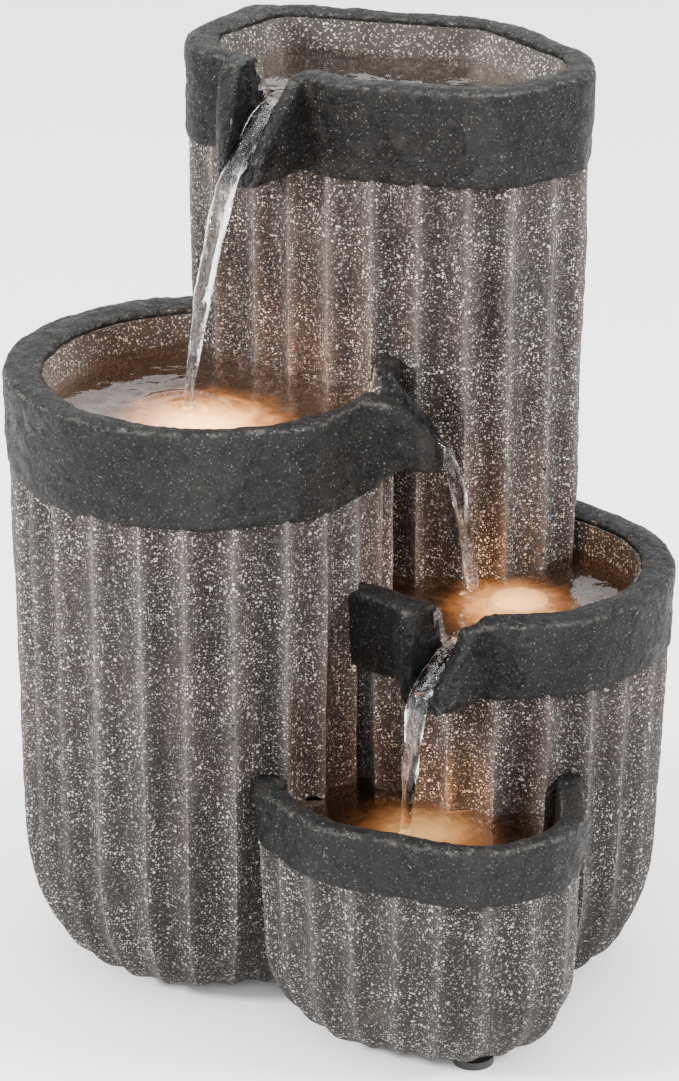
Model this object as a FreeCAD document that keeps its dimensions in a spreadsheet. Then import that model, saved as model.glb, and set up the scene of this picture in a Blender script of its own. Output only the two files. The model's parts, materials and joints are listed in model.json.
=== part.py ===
import FreeCAD, Part

import math
import os

import Sketcher

# Tabletop water fountain: four fluted stone pots in a cascade, each with a dark rim band.
# Water is pumped up the tower, and pours through a chute in each rim into the next pot down:
# tower, left pot, right pot, front bowl. A port in the left pot's wall lets it back to the pump.
# Frame: millimetres, +Z up, the front bowl towards -Y, origin in the middle of the footprint.

os.makedirs("parts", exist_ok=True)
doc = FreeCAD.newDocument("fountain")
Vector = FreeCAD.Vector

# ---------------------------------------------------------------- driving sizes

SIZES = {
    # stone heights, from the table up
    "stone_bottom": 3.0,
    "tower_ledge": 304.0,
    "tower_top": 341.0,
    "left_ledge": 199.0,
    "left_top": 237.0,
    "right_ledge": 133.4,
    "right_top": 164.0,
    "front_ledge": 76.6,
    "front_top": 100.0,
    # flutes and the round-under foot of each pot
    "flute_pitch": 17.6,
    "flute_depth": 3.6,
    "tower_phase": 0.0,
    "left_phase": 0.0,
    "right_phase": 0.0,
    "front_phase": 0.0,
    "foot_rise": 55.0,
    "foot_inset": 28.0,
    "tower_inset": 12.0,
    "bowl_rise": 34.0,
    "bowl_inset": 22.0,
    "tower_draft": 0.035,
    "left_draft": 0.015,
    "right_draft": 0.04,
    "front_draft": 0.03,
    # stone thicknesses
    "stone_wall": 10.0,
    "stone_floor": 11.0,
    "floor_extra": 2.0,
    "rim_proud": 1.5,
    "rim_taper": 1.5,
    "rim_edge": 3.0,
    "rim_lip": 5.0,
    "cup_wall": 3.5,
    "cup_floor": 5.0,
    "tower_rim_width": 11.0,
    "right_rim_width": 12.5,
    # left basin's round opening, off centre in its rim
    "left_bowl_x": -47.5,
    "left_bowl_y": 4.5,
    "left_bowl_r": 61.0,
    # chutes: tip position, heading in degrees from +X, floor height at the tip
    "tower_tip_x": -37.5,
    "tower_tip_y": 17.5,
    "tower_heading": -128.8,
    "tower_tip_floor": 305.0,
    "left_tip_x": 37.0,
    "left_tip_y": -9.0,
    "left_heading": 2.0,
    "left_tip_floor": 207.0,
    "right_tip_x": 28.5,
    "right_tip_y": -68.5,
    "right_heading": -129.8,
    "right_tip_floor": 136.0,
    "chute_reach": 26.0,
    "chute_half": 17.5,
    "chute_tip_half": 9.5,
    "chute_tip_wall": 8.0,
    "chute_under": 4.0,
    "channel_half": 11.0,
    "channel_tip_half": 5.0,
    "channel_splay": 2.0,
    "water_below_rim": 13.5,
    "channel_depth": 3.0,
    # openings between the hollow pots, and the port back from the front bowl
    "left_window_low": 18.0,
    "right_window_low": 42.0,
    "window_high": 125.0,
    "port_r": 5.0,
    "port_x": -10.0,
    "port_z": 84.0,
    # rear doorway, set square to the tower's flat back
    "back_x": 9.5,
    "back_y": 108.3,
    "back_turn": -11.65,
    "door_z": 155.0,
    "door_width": 58.0,
    "door_height": 78.0,
    "door_step": 4.0,
    "door_plate": 5.0,
    "door_plug": 8.0,
    "door_gap": 0.3,
    "recess": 12.0,
    "frame_depth": 12.0,
    "frame_side": 8.0,
    "frame_over": 10.0,
    "frame_under": 12.0,
    "grip_w": 28.0,
    "grip_h": 5.0,
    "grip_len": 4.0,
    "grommet_face": 22.0,
    "grommet_head": 3.0,
    "grommet_z": 103.0,
    "grommet_hole_r": 5.0,
    "cord_r": 2.75,
    # rubber feet
    "foot_r": 7.5,
    # pump: its axis runs along X, intake towards -X
    "pump_x": 4.0,
    "pump_y": 56.0,
    "pump_z": 34.0,
    "pump_side": 30.0,
    "volute_len": 10.0,
    "housing_len": 26.0,
    "chamber_r": 11.5,
    "rotor_bore_r": 7.6,
    "magnet_r": 6.6,
    "magnet_len": 16.0,
    "impeller_r": 10.0,
    "impeller_len": 4.6,
    "rotor_set": 4.4,
    "bush_len": 4.0,
    "shaft_r": 1.5,
    "shaft_clear": 0.05,
    "screen_len": 9.0,
    "cover_len": 2.5,
    "screen_wall": 2.0,
    "dial_r": 9.0,
    "dial_len": 2.5,
    "dial_stem_r": 2.2,
    "slot_w": 14.0,
    "slot_h": 2.0,
    "slot_out": 10.2,
    "cap_gap": 0.3,
    "suction_r": 5.0,
    "suction_top_r": 3.0,
    "suction_side": 9.0,
    "suction_front": 5.0,
    "suction_rear": 31.0,
    "nozzle_r": 6.0,
    "nozzle_bore_r": 4.5,
    "nozzle_len": 20.0,
    "hose_wall": 2.0,
    # outlet fitting through the tower basin's floor
    "outlet_flange_r": 13.0,
    "outlet_flange_t": 3.0,
    "outlet_stem_r": 8.0,
    "outlet_nut_r": 12.5,
    "outlet_nut_t": 5.0,
    "gasket_t": 1.5,
    # submersible lamps
    "lamp_r": 13.0,
    "lamp_t": 6.0,
    "lamp_stem_r": 5.0,
    "lamp_stem_len": 18.0,
    "lamp_wall": 2.5,
    "lens_t": 2.0,
    "board_t": 1.2,
    "chip_r": 1.5,
    "left_lamp_x": -45.0,
    "left_lamp_y": -10.0,
    "right_lamp_x": 66.0,
    "right_lamp_y": -8.0,
    "front_lamp_along": -9.0,
    "front_lamp_z": 58.0,
    "front_lamp_bed": 2.2,
    "lamp_clear": 0.5,
    "lead_d": 3.0,
    # junction box on the tower's inner wall
    "junction_x": 58.0,
    "junction_y": 30.0,
    "junction_z": 118.0,
    "junction_w": 24.0,
    "junction_d": 20.0,
    "junction_h": 26.0,
}

# Each pot's outline is a taut band round these circles (x, y, radius), listed counter-clockwise.
OUTLINES = {
    "tower": [
        (-44.0, 64.6, 14.0),
        (17.0, 42.4, 35.0),
        (50.3, 30.1, 30.0),
        (72.0, 33.7, 20.0),
        (62.5, 41.9, 30.0),
        (40.6, 69.3, 32.0),
        (-26.9, 103.0, 14.0),
        (-38.0, 73.7, 20.0),
    ],
    "left": [(-51.0, 8.5, 72.5), (-20.0, -39.5, 19.0)],
    "right": [(62.5, -4.5, 61.0), (33.0, 21.5, 62.0)],
    "front": [
        (-19.5, -62.8, 12.0),
        (9.0, -72.8, 30.0),
        (47.5, -82.0, 35.0),
        (58.0, -82.0, 30.5),
        (78.5, -22.5, 10.0),
        (-21.5, -22.5, 10.0),
    ],
    "front_bowl": [
        (-7.5, -63.7, 12.0),
        (12.8, -70.2, 25.0),
        (47.8, -81.8, 28.0),
        (54.5, -82.3, 24.0),
        (67.5, -22.5, 10.0),
        (-9.5, -22.5, 10.0),
    ],
}

# The vertical line that each pot's flutes draw in towards at its foot.
AXES = {
    "tower": (17.5, 57.0),
    "left": (-48.0, 5.0),
    "right": (53.0, 4.0),
    "front": (29.0, -58.0),
}

# Rubber feet under the flat of each pot, and the boxes that join the hollow pots inside.
FEET = [(-66.0, 16.0), (-44.0, -20.0), (4.0, 84.0), (48.5, -89.0), (82.0, 2.0)]
WINDOWS = {
    "left": ((-46.0, 8.0), (4.0, 56.0)),
    "right": ((24.0, -12.0), (76.0, 30.0)),
}


def make_sheet():
    """The spreadsheet that holds every driving size under its own name."""
    table = doc.addObject("Spreadsheet::Sheet", "sizes")
    values = dict(SIZES)
    for name, circles in OUTLINES.items():
        for number, circle in enumerate(circles, 1):
            for letter, value in zip(("x", "y", "r"), circle):
                values[f"{name}_ring{number}_{letter}"] = value
    for row, (alias, value) in enumerate(values.items(), 1):
        table.set(f"A{row}", alias)
        table.set(f"B{row}", str(value))
        table.setAlias(f"B{row}", alias)
    doc.recompute()
    return table


sheet = make_sheet()


def size(alias):
    return float(getattr(sheet, alias))


def outline(name):
    """The outline's circles, read back from the sheet."""
    numbers = range(1, len(OUTLINES[name]) + 1)
    return [tuple(size(f"{name}_ring{n}_{c}") for c in ("x", "y", "r")) for n in numbers]


# ---------------------------------------------------------------- outlines and lofts


def grown(circles, grow):
    """The same circles with larger radii: the band moves out evenly."""
    return [(x, y, r + grow) for x, y, r in circles]


def scaled(circles, centre, factor):
    """The same circles drawn in towards a centre."""
    cx, cy = centre
    return [(cx + factor * (x - cx), cy + factor * (y - cy), factor * r) for x, y, r in circles]


def band_pieces(circles, grow=0.0):
    """The band round the circles: (centre, radius, start angle, sweep) arcs, in order."""
    rings = grown(circles, grow)
    count = len(rings)
    normals = []
    for i in range(count):
        x0, y0, r0 = rings[i]
        x1, y1, r1 = rings[(i + 1) % count]
        along = math.atan2(y1 - y0, x1 - x0)
        tilt = math.acos((r0 - r1) / math.hypot(x1 - x0, y1 - y0))
        normals.append(along - tilt)
    arcs = []
    for i in range(count):
        x, y, r = rings[i]
        sweep = (normals[i] - normals[i - 1]) % (2 * math.pi)
        arcs.append((x, y, r, normals[i - 1], sweep))
    return arcs


def on_circle(x, y, r, angle, z=0.0):
    return Vector(x + r * math.cos(angle), y + r * math.sin(angle), z)


def band_wire(circles, grow, z):
    """A closed wire of arcs joined by tangent lines."""
    edges = []
    arcs = band_pieces(circles, grow)
    for i, (x, y, r, start, sweep) in enumerate(arcs):
        first, middle, last = (on_circle(x, y, r, start + sweep * f, z) for f in (0, 0.5, 1))
        edges.append(Part.Arc(first, middle, last).toShape())
        nx, ny, nr, turn, _ = arcs[(i + 1) % len(arcs)]
        edges.append(Part.LineSegment(last, on_circle(nx, ny, nr, turn, z)).toShape())
    return Part.Wire(edges)


def band_points(circles, count, phase):
    """Evenly spaced points along the band."""
    arcs = band_pieces(circles)
    pieces = []
    for i, (x, y, r, start, sweep) in enumerate(arcs):
        pieces.append((r * sweep, "arc", (x, y, r, start)))
        nx, ny, nr, turn, _ = arcs[(i + 1) % len(arcs)]
        ends = (on_circle(x, y, r, start + sweep), on_circle(nx, ny, nr, turn))
        pieces.append((ends[0].distanceToPoint(ends[1]), "line", ends))
    total = sum(piece[0] for piece in pieces)
    points = []
    for number in range(count):
        left = ((number + phase) / count * total) % total
        for length, kind, data in pieces:
            if left <= length:
                break
            left -= length
        if kind == "arc":
            x, y, r, start = data
            points.append(on_circle(x, y, r, start + left / r))
        else:
            points.append(data[0] + (data[1] - data[0]) * (left / length))
    return points


def fluted_wire(circles, centre, factor, count, phase, depth, z):
    """A ring of shallow concave flutes between sharp ridges, drawn in towards the centre."""
    marks = band_points(circles, 2 * count, 2 * phase)
    middle = Vector(centre[0], centre[1], 0)
    ring = []
    for i, mark in enumerate(marks):
        along = marks[(i + 1) % len(marks)] - marks[i - 1]
        inward = Vector(-along.y, along.x, 0).normalize()
        place = mark + inward * (depth if i % 2 else 0)
        ring.append(middle + (place - middle) * factor + Vector(0, 0, z))
    edges = []
    for i in range(0, len(ring), 2):
        edges.append(Part.Arc(ring[i], ring[i + 1], ring[(i + 2) % len(ring)]).toShape())
    return Part.Wire(edges)


def slab(circles, grow, low, high):
    """An upright prism on the band."""
    return Part.Face(band_wire(circles, grow, low)).extrude(Vector(0, 0, high - low))


def foot_steps(rise, inset, reach):
    """Heights above the foot and scale factors down a quarter-round foot."""
    steps = []
    for degrees in (90, 68, 45, 22, 0):
        turn = math.radians(degrees)
        steps.append((rise * (1 - math.sin(turn)), 1 - inset * (1 - math.cos(turn)) / reach))
    return steps


# How far each pot stands from its axis, and the cells with its foot's height and inset.
REACH = {"tower": 60.0, "left": 72.0, "right": 68.0, "front": 55.0}
FOOT = {
    "tower": ("foot_rise", "tower_inset"),
    "left": ("foot_rise", "foot_inset"),
    "right": ("foot_rise", "foot_inset"),
    "front": ("bowl_rise", "bowl_inset"),
}


def pot_solid(name):
    """The whole outer body of a pot below its rim, drafted and rounded under, without hollow."""
    rise, inset = FOOT[name]
    circles = grown(outline(name), -size("rim_proud"))
    bottom, top = size("stone_bottom"), size(f"{name}_ledge")
    draft = size(f"{name}_draft")
    length = band_wire(circles, 0, 0).Length
    count = round(length / size("flute_pitch"))
    steps = foot_steps(size(rise), size(inset), REACH[name])
    levels = [(bottom + z, factor * (1 - draft)) for z, factor in steps] + [(top, 1.0)]
    phase = size(f"{name}_phase")
    wires = [
        fluted_wire(circles, AXES[name], factor, count, phase, size("flute_depth"), z)
        for z, factor in levels
    ]
    return Part.makeLoft(wires, True, True)


def pot_hollow(name, circles, top):
    """The smooth hollow inside a pot, drawn in above its floor."""
    rise, inset = FOOT[name]
    floor = size("stone_bottom") + size("stone_floor")
    knee = size("stone_bottom") + size(rise)
    turn = math.asin(1 - size("stone_floor") / size(rise))
    narrow = 1 - (size(inset) * (1 - math.cos(turn)) + size("floor_extra")) / REACH[name]
    low = band_wire(scaled(circles, AXES[name], narrow), 0, floor)
    high = band_wire(circles, 0, knee)
    return Part.makeLoft([low, high], True, True).fuse(slab(circles, 0, knee, top))


# ---------------------------------------------------------------- rims and chutes


def heading(name):
    """A chute's direction and the direction to its left, level."""
    turn = math.radians(size(f"{name}_heading"))
    return Vector(math.cos(turn), math.sin(turn), 0), Vector(-math.sin(turn), math.cos(turn), 0)


def cross_section(middle, side, half_low, half_high, low, high):
    """An upright trapezium across a chute."""
    corners = [(-half_low, low), (half_low, low), (half_high, high), (-half_high, high)]
    points = [Vector(middle.x, middle.y, 0) + side * s + Vector(0, 0, z) for s, z in corners]
    return Part.makePolygon(points + points[:1])


def chute_solid(name):
    """The chute's outside: as wide as its lips at the rim, narrow and low at the tip."""
    ahead, side = heading(name)
    tip = Vector(size(f"{name}_tip_x"), size(f"{name}_tip_y"), 0)
    root = tip - ahead * size("chute_reach")
    floor = size(f"{name}_tip_floor")
    half, tip_half = size("chute_half"), size("chute_tip_half")
    low = size(f"{name}_ledge") + 1
    near = cross_section(root, side, half, half, low, size(f"{name}_top"))
    under, wall = size("chute_under"), size("chute_tip_wall")
    far = cross_section(tip, side, tip_half, tip_half, floor - under, floor + wall)
    return Part.makeLoft([near, far], True, True)


def channel_solid(name):
    """What is cut out for the water: from inside the basin, down the chute and past its tip."""
    ahead, side = heading(name)
    tip = Vector(size(f"{name}_tip_x"), size(f"{name}_tip_y"), 0)
    reach = size("chute_reach")
    top, floor = size(f"{name}_top"), size(f"{name}_tip_floor")
    brink = top - size("water_below_rim") - size("channel_depth")
    half, tip_half, splay = size("channel_half"), size("channel_tip_half"), size("channel_splay")
    inner = cross_section(tip - ahead * (reach + 12), side, half, half + splay, brink, top + 1)
    root = cross_section(tip - ahead * (reach - 6), side, half, half + splay, brink, top + 1)
    far = cross_section(tip, side, tip_half, tip_half + splay, floor, top + 1)
    past = cross_section(tip + ahead * 8, side, tip_half, tip_half + splay, floor, top + 1)
    return Part.makeLoft([inner, root, far, past], True, True)


def rim_solid(circles, low, high):
    """A rim band's outside: slightly tapered, with an eased top edge."""
    levels = [(low, -size("rim_taper")), (high - size("rim_edge"), 0.0), (high, -size("rim_edge"))]
    wires = [band_wire(circles, grow, z) for z, grow in levels]
    return Part.makeLoft(wires, True, True)


def rim_ring(circles, opening, low, high):
    """The band with its inward lip: it hooks over the cup's wall."""
    lip_z = high - size("rim_lip")
    ring = rim_solid(circles, low, high).cut(slab(opening, size("cup_wall"), low - 1, lip_z))
    return ring.cut(slab(opening, 0, lip_z - 1, high + 1))


def cup(opening, low, high, holes):
    """A basin: an upright wall on a floor, drilled where pieces pass through the floor."""
    lip_z = high - size("rim_lip")
    floor = low + size("cup_floor")
    solid = slab(opening, size("cup_wall"), low, lip_z).cut(slab(opening, 0, floor, high))
    for x, y, r in holes:
        solid = solid.cut(Part.makeCylinder(r, 3 * size("cup_floor"), Vector(x, y, low - 5)))
    return solid


# ---------------------------------------------------------------- document objects


def stone(label, shape):
    """A casting: a fluted loft trimmed to its neighbours, less any sliver the trimming leaves."""
    feature = doc.addObject("Part::Feature", label)
    feature.Label = label
    feature.Shape = max(shape.Solids, key=lambda solid: solid.Volume)
    feature.Placement = FreeCAD.Placement()
    return feature


def bind(thing, **expressions):
    """Bind properties to the sheet; a double underscore stands for a dot."""
    for name, formula in expressions.items():
        thing.setExpression(name.replace("__", "."), formula)


def at(thing, x="0", y="0", z="0"):
    for letter, formula in zip("xyz", (x, y, z)):
        thing.setExpression(f"Placement.Base.{letter}", formula)


PIECES = []


def piece(thing, label):
    """Note a finished sub-part under the name of its file."""
    thing.Label = label
    PIECES.append(thing)
    return thing


def origin_plane(body, role):
    return next(f for f in body.Origin.OriginFeatures if f.Role == role)


def bound_sketch(body, role, name):
    sketch = body.newObject("Sketcher::SketchObject", name)
    sketch.AttachmentSupport = [(origin_plane(body, role), "")]
    sketch.MapMode = "FlatFace"
    return sketch


def polygon(sketch, corners):
    """A closed outline whose corners are bound to the sheet, one formula for each coordinate."""
    count = len(corners)
    guess = [Vector(10 * math.cos(i), 10 * math.sin(i), 0) for i in range(count)]
    lines = [Part.LineSegment(guess[i], guess[(i + 1) % count]) for i in range(count)]
    sketch.addGeometry(lines, False)
    for i in range(count):
        sketch.addConstraint(Sketcher.Constraint("Coincident", i, 2, (i + 1) % count, 1))
    for i, (across, up) in enumerate(corners):
        for kind, formula in (("DistanceX", across), ("DistanceY", up)):
            number = sketch.addConstraint(Sketcher.Constraint(kind, -1, 1, i, 1, 1.0))
            sketch.setExpression(f"Constraints[{number}]", formula)


def circle_at(sketch, across, up, radius):
    """A circle bound to the sheet."""
    number = sketch.addGeometry(Part.Circle(Vector(1, 1, 0), Vector(0, 0, 1), 1), False)
    for kind, formula in (("DistanceX", across), ("DistanceY", up)):
        row = sketch.addConstraint(Sketcher.Constraint(kind, -1, 1, number, 3, 1.0))
        sketch.setExpression(f"Constraints[{row}]", formula)
    row = sketch.addConstraint(Sketcher.Constraint("Radius", number, 1.0))
    sketch.setExpression(f"Constraints[{row}]", radius)


def turned(label, corners):
    """A body turned about Z from a half profile of (radius, height) formulas."""
    body = doc.addObject("PartDesign::Body", label + "_body")
    sketch = bound_sketch(body, "XZ_Plane", label + "_profile")
    polygon(sketch, corners)
    turn = body.newObject("PartDesign::Revolution", label + "_turn")
    turn.Profile = sketch
    turn.ReferenceAxis = (sketch, ["V_Axis"])
    turn.Angle = 360.0
    sketch.Visibility = False
    return piece(body, label)


def padded(label, role, corners, length):
    """A body padded from a polygon of formulas."""
    body = doc.addObject("PartDesign::Body", label + "_body")
    sketch = bound_sketch(body, role, label + "_outline")
    polygon(sketch, corners)
    pad = body.newObject("PartDesign::Pad", label + "_pad")
    pad.Profile = sketch
    pad.setExpression("Length", length)
    return piece(body, label)


def square(side):
    """A centred square's corners."""
    half = f"{side} / 2"
    return [(f"-{half}", f"-{half}"), (half, f"-{half}"), (half, half), (f"-{half}", half)]


def pocket(body, role, name, draw, depth, offset="0", reverse=False, through=False):
    """Cut a sketch into a body, and check that it takes material away."""
    doc.recompute()
    before = body.Shape.Volume
    sketch = bound_sketch(body, role, name)
    sketch.setExpression("AttachmentOffset.Base.z", offset)
    draw(sketch)
    cut = body.newObject("PartDesign::Pocket", name + "_cut")
    cut.Profile = sketch
    cut.Reversed = reverse
    if through:
        cut.Type = "ThroughAll"
        cut.Midplane = True
    else:
        cut.setExpression("Length", depth)
    doc.recompute()
    if not body.Shape.Volume < before - 1e-6:
        raise RuntimeError(f"{name} cuts nothing")
    return cut


def cylinder(name, radius, height, x="0", y="0", z="0"):
    thing = doc.addObject("Part::Cylinder", name)
    bind(thing, Radius=radius, Height=height)
    at(thing, x, y, z)
    return thing


def tube(label, outer, inner, height, x, y, z):
    """A round tube standing on z."""
    outside = cylinder(label + "_outside", outer, height, x, y, z)
    inside = cylinder(label + "_inside", inner, height, x, y, z)
    cut = doc.addObject("Part::Cut", label + "_tube")
    cut.Base, cut.Tool = outside, inside
    return piece(cut, label)


def group(label, members):
    """Identical separate solids in one node."""
    compound = doc.addObject("Part::Compound", label + "_group")
    compound.Links = members
    return piece(compound, label)


# ---------------------------------------------------------------- stone castings

pots = {name: pot_solid(name) for name in ("tower", "left", "right", "front")}
hollows = {}
for name in ("tower", "left", "right"):
    inside = grown(outline(name), -size("rim_proud") - size("stone_wall"))
    hollows[name] = pot_hollow(name, inside, size(f"{name}_ledge") + 1)
hollows["front"] = pot_hollow("front", outline("front_bowl"), size("front_ledge") + 1)

window_boxes = {}
for name, ((x0, y0), (x1, y1)) in WINDOWS.items():
    low, high = size(f"{name}_window_low"), size("window_high")
    window_boxes[name] = Part.makeBox(x1 - x0, y1 - y0, high - low, Vector(x0, y0, low))

back = FreeCAD.Placement(
    Vector(size("back_x"), size("back_y"), 0),
    FreeCAD.Rotation(Vector(0, 0, 1), size("back_turn")),
)


def back_box(width, height, middle_z, near, far):
    """A box square to the tower's flat back, from `near` to `far` along its outward normal."""
    box = Part.makeBox(width, far - near, height, Vector(-width / 2, near, middle_z - height / 2))
    box.Placement = back.multiply(box.Placement)
    return box


def tower_column():
    """The tower below its rim, with the thickened, recessed doorway at the back."""
    shell = pots["tower"].cut(hollows["tower"])
    frame_low = size("grommet_z") - size("frame_under")
    frame_high = size("door_z") + size("door_height") / 2 + size("frame_over")
    frame = back_box(
        size("door_width") + 2 * size("frame_side"),
        frame_high - frame_low,
        (frame_low + frame_high) / 2,
        -size("recess") - size("frame_depth"),
        5,
    )
    shell = shell.fuse(frame.common(pots["tower"]))
    gap = size("door_gap")
    width, height = size("door_width"), size("door_height")
    step = size("door_step")
    recess = back_box(width + 2 * gap, height + 2 * gap, size("door_z"), -size("recess"), 20)
    doorway = back_box(
        width - 2 * step + 2 * gap, height - 2 * step + 2 * gap, size("door_z"), -50, 20
    )
    shell = shell.cut(recess).cut(doorway)
    shell = shell.cut(back_hole(size("grommet_hole_r"), -50, 40))
    side = size("grommet_face")
    face = back_box(side, side, size("grommet_z"), -size("recess"), 20)
    shell = shell.cut(face)
    for box in window_boxes.values():
        shell = shell.cut(box)
    return shell


def back_hole(radius, near, far):
    """A round bar along the outward normal of the tower's back, at the cord's height."""
    bar = Part.makeCylinder(radius, far - near, Vector(0, near, size("grommet_z")), Vector(0, 1, 0))
    bar.Placement = back.multiply(bar.Placement)
    return bar


def port():
    """The hole in the left pot's wall that lets the front bowl's water back to the pump."""
    start = Vector(size("port_x"), -30, size("port_z"))
    return Part.makeCylinder(size("port_r"), 40, start, Vector(0, -1, 0))


def front_lamp_frame():
    """The front lamp's place on the right pot's flat front-left face, and the way it points."""
    (x0, y0, r0), (x1, y1, _) = outline("right")
    along = Vector(x0 - x1, y0 - y1, 0).normalize()
    outward = Vector(along.y, -along.x, 0)
    face = r0 - size("rim_proud") - size("flute_depth") - size("front_lamp_bed")
    place = Vector(x0, y0, size("front_lamp_z")) + outward * face - along * size("front_lamp_along")
    return place, outward


lamp_place, lamp_out = front_lamp_frame()


def right_column():
    """The right pot below its rim, open to the tower, with the front lamp's seat."""
    shell = pots["right"].cut(hollows["right"]).cut(pots["tower"]).cut(pots["left"])
    shell = shell.cut(window_boxes["right"])
    seat_r = size("lamp_r") + size("lamp_clear")
    shell = shell.cut(Part.makeCylinder(seat_r, 30, lamp_place, lamp_out))
    stem = Part.makeCylinder(size("lamp_stem_r"), 60, lamp_place - lamp_out * 40, lamp_out)
    return shell.cut(stem)


def left_column():
    """The left pot below its rim, open to the tower and to the front bowl's port."""
    shell = pots["left"].cut(hollows["left"]).cut(pots["tower"])
    return shell.cut(window_boxes["left"]).cut(port())


def front_bowl():
    """The low bowl that stands against the left and right pots."""
    shell = pots["front"].cut(hollows["front"])
    return shell.cut(pots["right"]).cut(pots["left"])


tower_opening = grown(outline("tower"), -size("tower_rim_width"))
left_opening = [tuple(size(f"left_bowl_{c}") for c in ("x", "y", "r"))]
right_opening = grown(outline("right"), -size("right_rim_width"))


def opening_of(name):
    """The basin's mouth, as circles. The left one is a single circle, doubled to make a band."""
    if name == "left":
        x, y, r = left_opening[0]
        return [(x - 0.5, y, r - 0.5), (x + 0.5, y, r - 0.5)]
    return {"tower": tower_opening, "right": right_opening, "front": outline("front_bowl")}[name]


def rim(name):
    """A pot's rim band with its chute, trimmed to the taller pots beside it."""
    low, high = size(f"{name}_ledge"), size(f"{name}_top")
    ring = rim_ring(outline(name), opening_of(name), low, high)
    if name == "front":
        ring = rim_solid(outline(name), low, high).cut(slab(opening_of(name), 0, low - 1, high + 1))
        return ring.cut(pots["right"]).cut(pots["left"])
    inside = slab(opening_of(name), size("cup_wall"), low - 1, high - size("rim_lip"))
    mouth = slab(opening_of(name), 0, low, high + 1)
    ring = ring.fuse(chute_solid(name).cut(inside).cut(mouth)).cut(channel_solid(name))
    if name == "left":
        ring = ring.cut(pots["tower"])
    if name == "right":
        ring = ring.cut(pots["tower"]).cut(pots["left"])
    return ring


def basin(name, holes):
    """The basin under a rim, open to its chute and trimmed to the taller pots beside it."""
    solid = cup(opening_of(name), size(f"{name}_ledge"), size(f"{name}_top"), holes)
    solid = solid.cut(channel_solid(name))
    if name == "left":
        solid = solid.cut(pots["tower"])
    if name == "right":
        solid = solid.cut(pots["tower"]).cut(pots["left"])
    return solid


riser_x = size("pump_x") + size("volute_len") / 2
riser_y = size("pump_y")
lamp_hole = size("lamp_stem_r")
castings = {
    "tower_column": tower_column(),
    "left_column": left_column(),
    "right_column": right_column(),
    "front_bowl": front_bowl(),
    "tower_rim": rim("tower"),
    "left_rim": rim("left"),
    "right_rim": rim("right"),
    "front_rim": rim("front"),
    "tower_basin": basin("tower", [(riser_x, riser_y, size("outlet_stem_r"))]),
    "left_basin": basin("left", [(size("left_lamp_x"), size("left_lamp_y"), lamp_hole)]),
    "right_basin": basin("right", [(size("right_lamp_x"), size("right_lamp_y"), lamp_hole)]),
}
for label, shape in castings.items():
    piece(stone(label, shape), label)

# ---------------------------------------------------------------- feet


def rubber_feet():
    """The flat round feet under the pots."""
    members = []
    for number, (x, y) in enumerate(FEET, 1):
        members.append(cylinder(f"foot{number}", "sizes.foot_r", "sizes.stone_bottom", str(x), str(y)))
    return group("rubber_feet", members)


rubber_feet()

# ---------------------------------------------------------------- pump

PUMP_TURN = FreeCAD.Rotation(Vector(0, 1, 0), -90)
ROTOR_FACE = "sizes.pump_x + sizes.volute_len - sizes.rotor_set"
SHAFT_REAR = "sizes.pump_x + sizes.volute_len + sizes.magnet_len + 3 + sizes.bush_len"
RISER_X = "sizes.pump_x + sizes.volute_len / 2"
RISER_Y = "sizes.pump_y"


def on_pump_axis(thing, along):
    """Stand a piece made about +Z on the pump's axis, with its +Z towards the intake (-X)."""
    thing.Placement = FreeCAD.Placement(Vector(), PUMP_TURN)
    at(thing, along, "sizes.pump_y", "sizes.pump_z")
    return thing


def pump_block(label, length, along):
    """A square block on the pump's axis. Its far end from the intake is at `along`."""
    body = padded(label, "XY_Plane", square("sizes.pump_side"), length)
    return on_pump_axis(body, along)


def draw_circle(across, up, radius):
    return lambda sketch: circle_at(sketch, across, up, radius)


def draw_polygon(corners):
    return lambda sketch: polygon(sketch, corners)


def pump_housing():
    """The sealed motor block, with a blind bore for the rotor and a seat for the rear bush."""
    rear = "sizes.pump_x + sizes.volute_len + sizes.housing_len"
    body = pump_block("pump_housing", "sizes.housing_len", rear)
    mouth = "sizes.housing_len"
    bore = draw_circle("0", "0", "sizes.rotor_bore_r")
    pocket(body, "XY_Plane", "rotor_bore", bore, "sizes.magnet_len + 3", mouth)
    seat = draw_circle("0", "0", "2 * sizes.shaft_r")
    pocket(body, "XY_Plane", "bush_seat", seat, "sizes.magnet_len + 3 + sizes.bush_len", mouth)
    return body


def pump_volute():
    """The ring round the impeller, with the outlet hole in its top."""
    body = pump_block("pump_volute", "sizes.volute_len", "sizes.pump_x + sizes.volute_len")
    chamber = draw_circle("0", "0", "sizes.chamber_r")
    pocket(body, "XY_Plane", "chamber", chamber, "sizes.volute_len - 4", "sizes.volute_len")
    neck = draw_circle("0", "0", "sizes.rotor_bore_r")
    pocket(body, "XY_Plane", "neck", neck, "sizes.volute_len + 1", "sizes.volute_len")
    up = draw_circle("0", "sizes.volute_len / 2", "sizes.nozzle_bore_r")
    pocket(body, "YZ_Plane", "outlet", up, "sizes.pump_side", reverse=False)
    return body


def pump_cover():
    """The plate over the impeller: six inlet holes round a seat for the front bush."""
    body = pump_block("pump_cover", "sizes.cover_len", "sizes.pump_x")
    seat = draw_circle("0", "0", "2 * sizes.shaft_r")
    pocket(body, "XY_Plane", "front_seat", seat, "sizes.cover_len + 1", "sizes.cover_len")
    inlet = draw_circle("0", "sizes.impeller_r * 0.66", "sizes.shaft_r * 1.6")
    hole = pocket(body, "XY_Plane", "inlet", inlet, "sizes.cover_len + 1", "sizes.cover_len")
    ring = body.newObject("PartDesign::PolarPattern", "inlet_ring")
    ring.Originals = [hole]
    ring.Axis = (next(f for f in body.Origin.OriginFeatures if f.Role == "Z_Axis"), [""])
    ring.Angle = 360
    ring.Occurrences = 6
    body.Tip = ring
    return body


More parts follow.
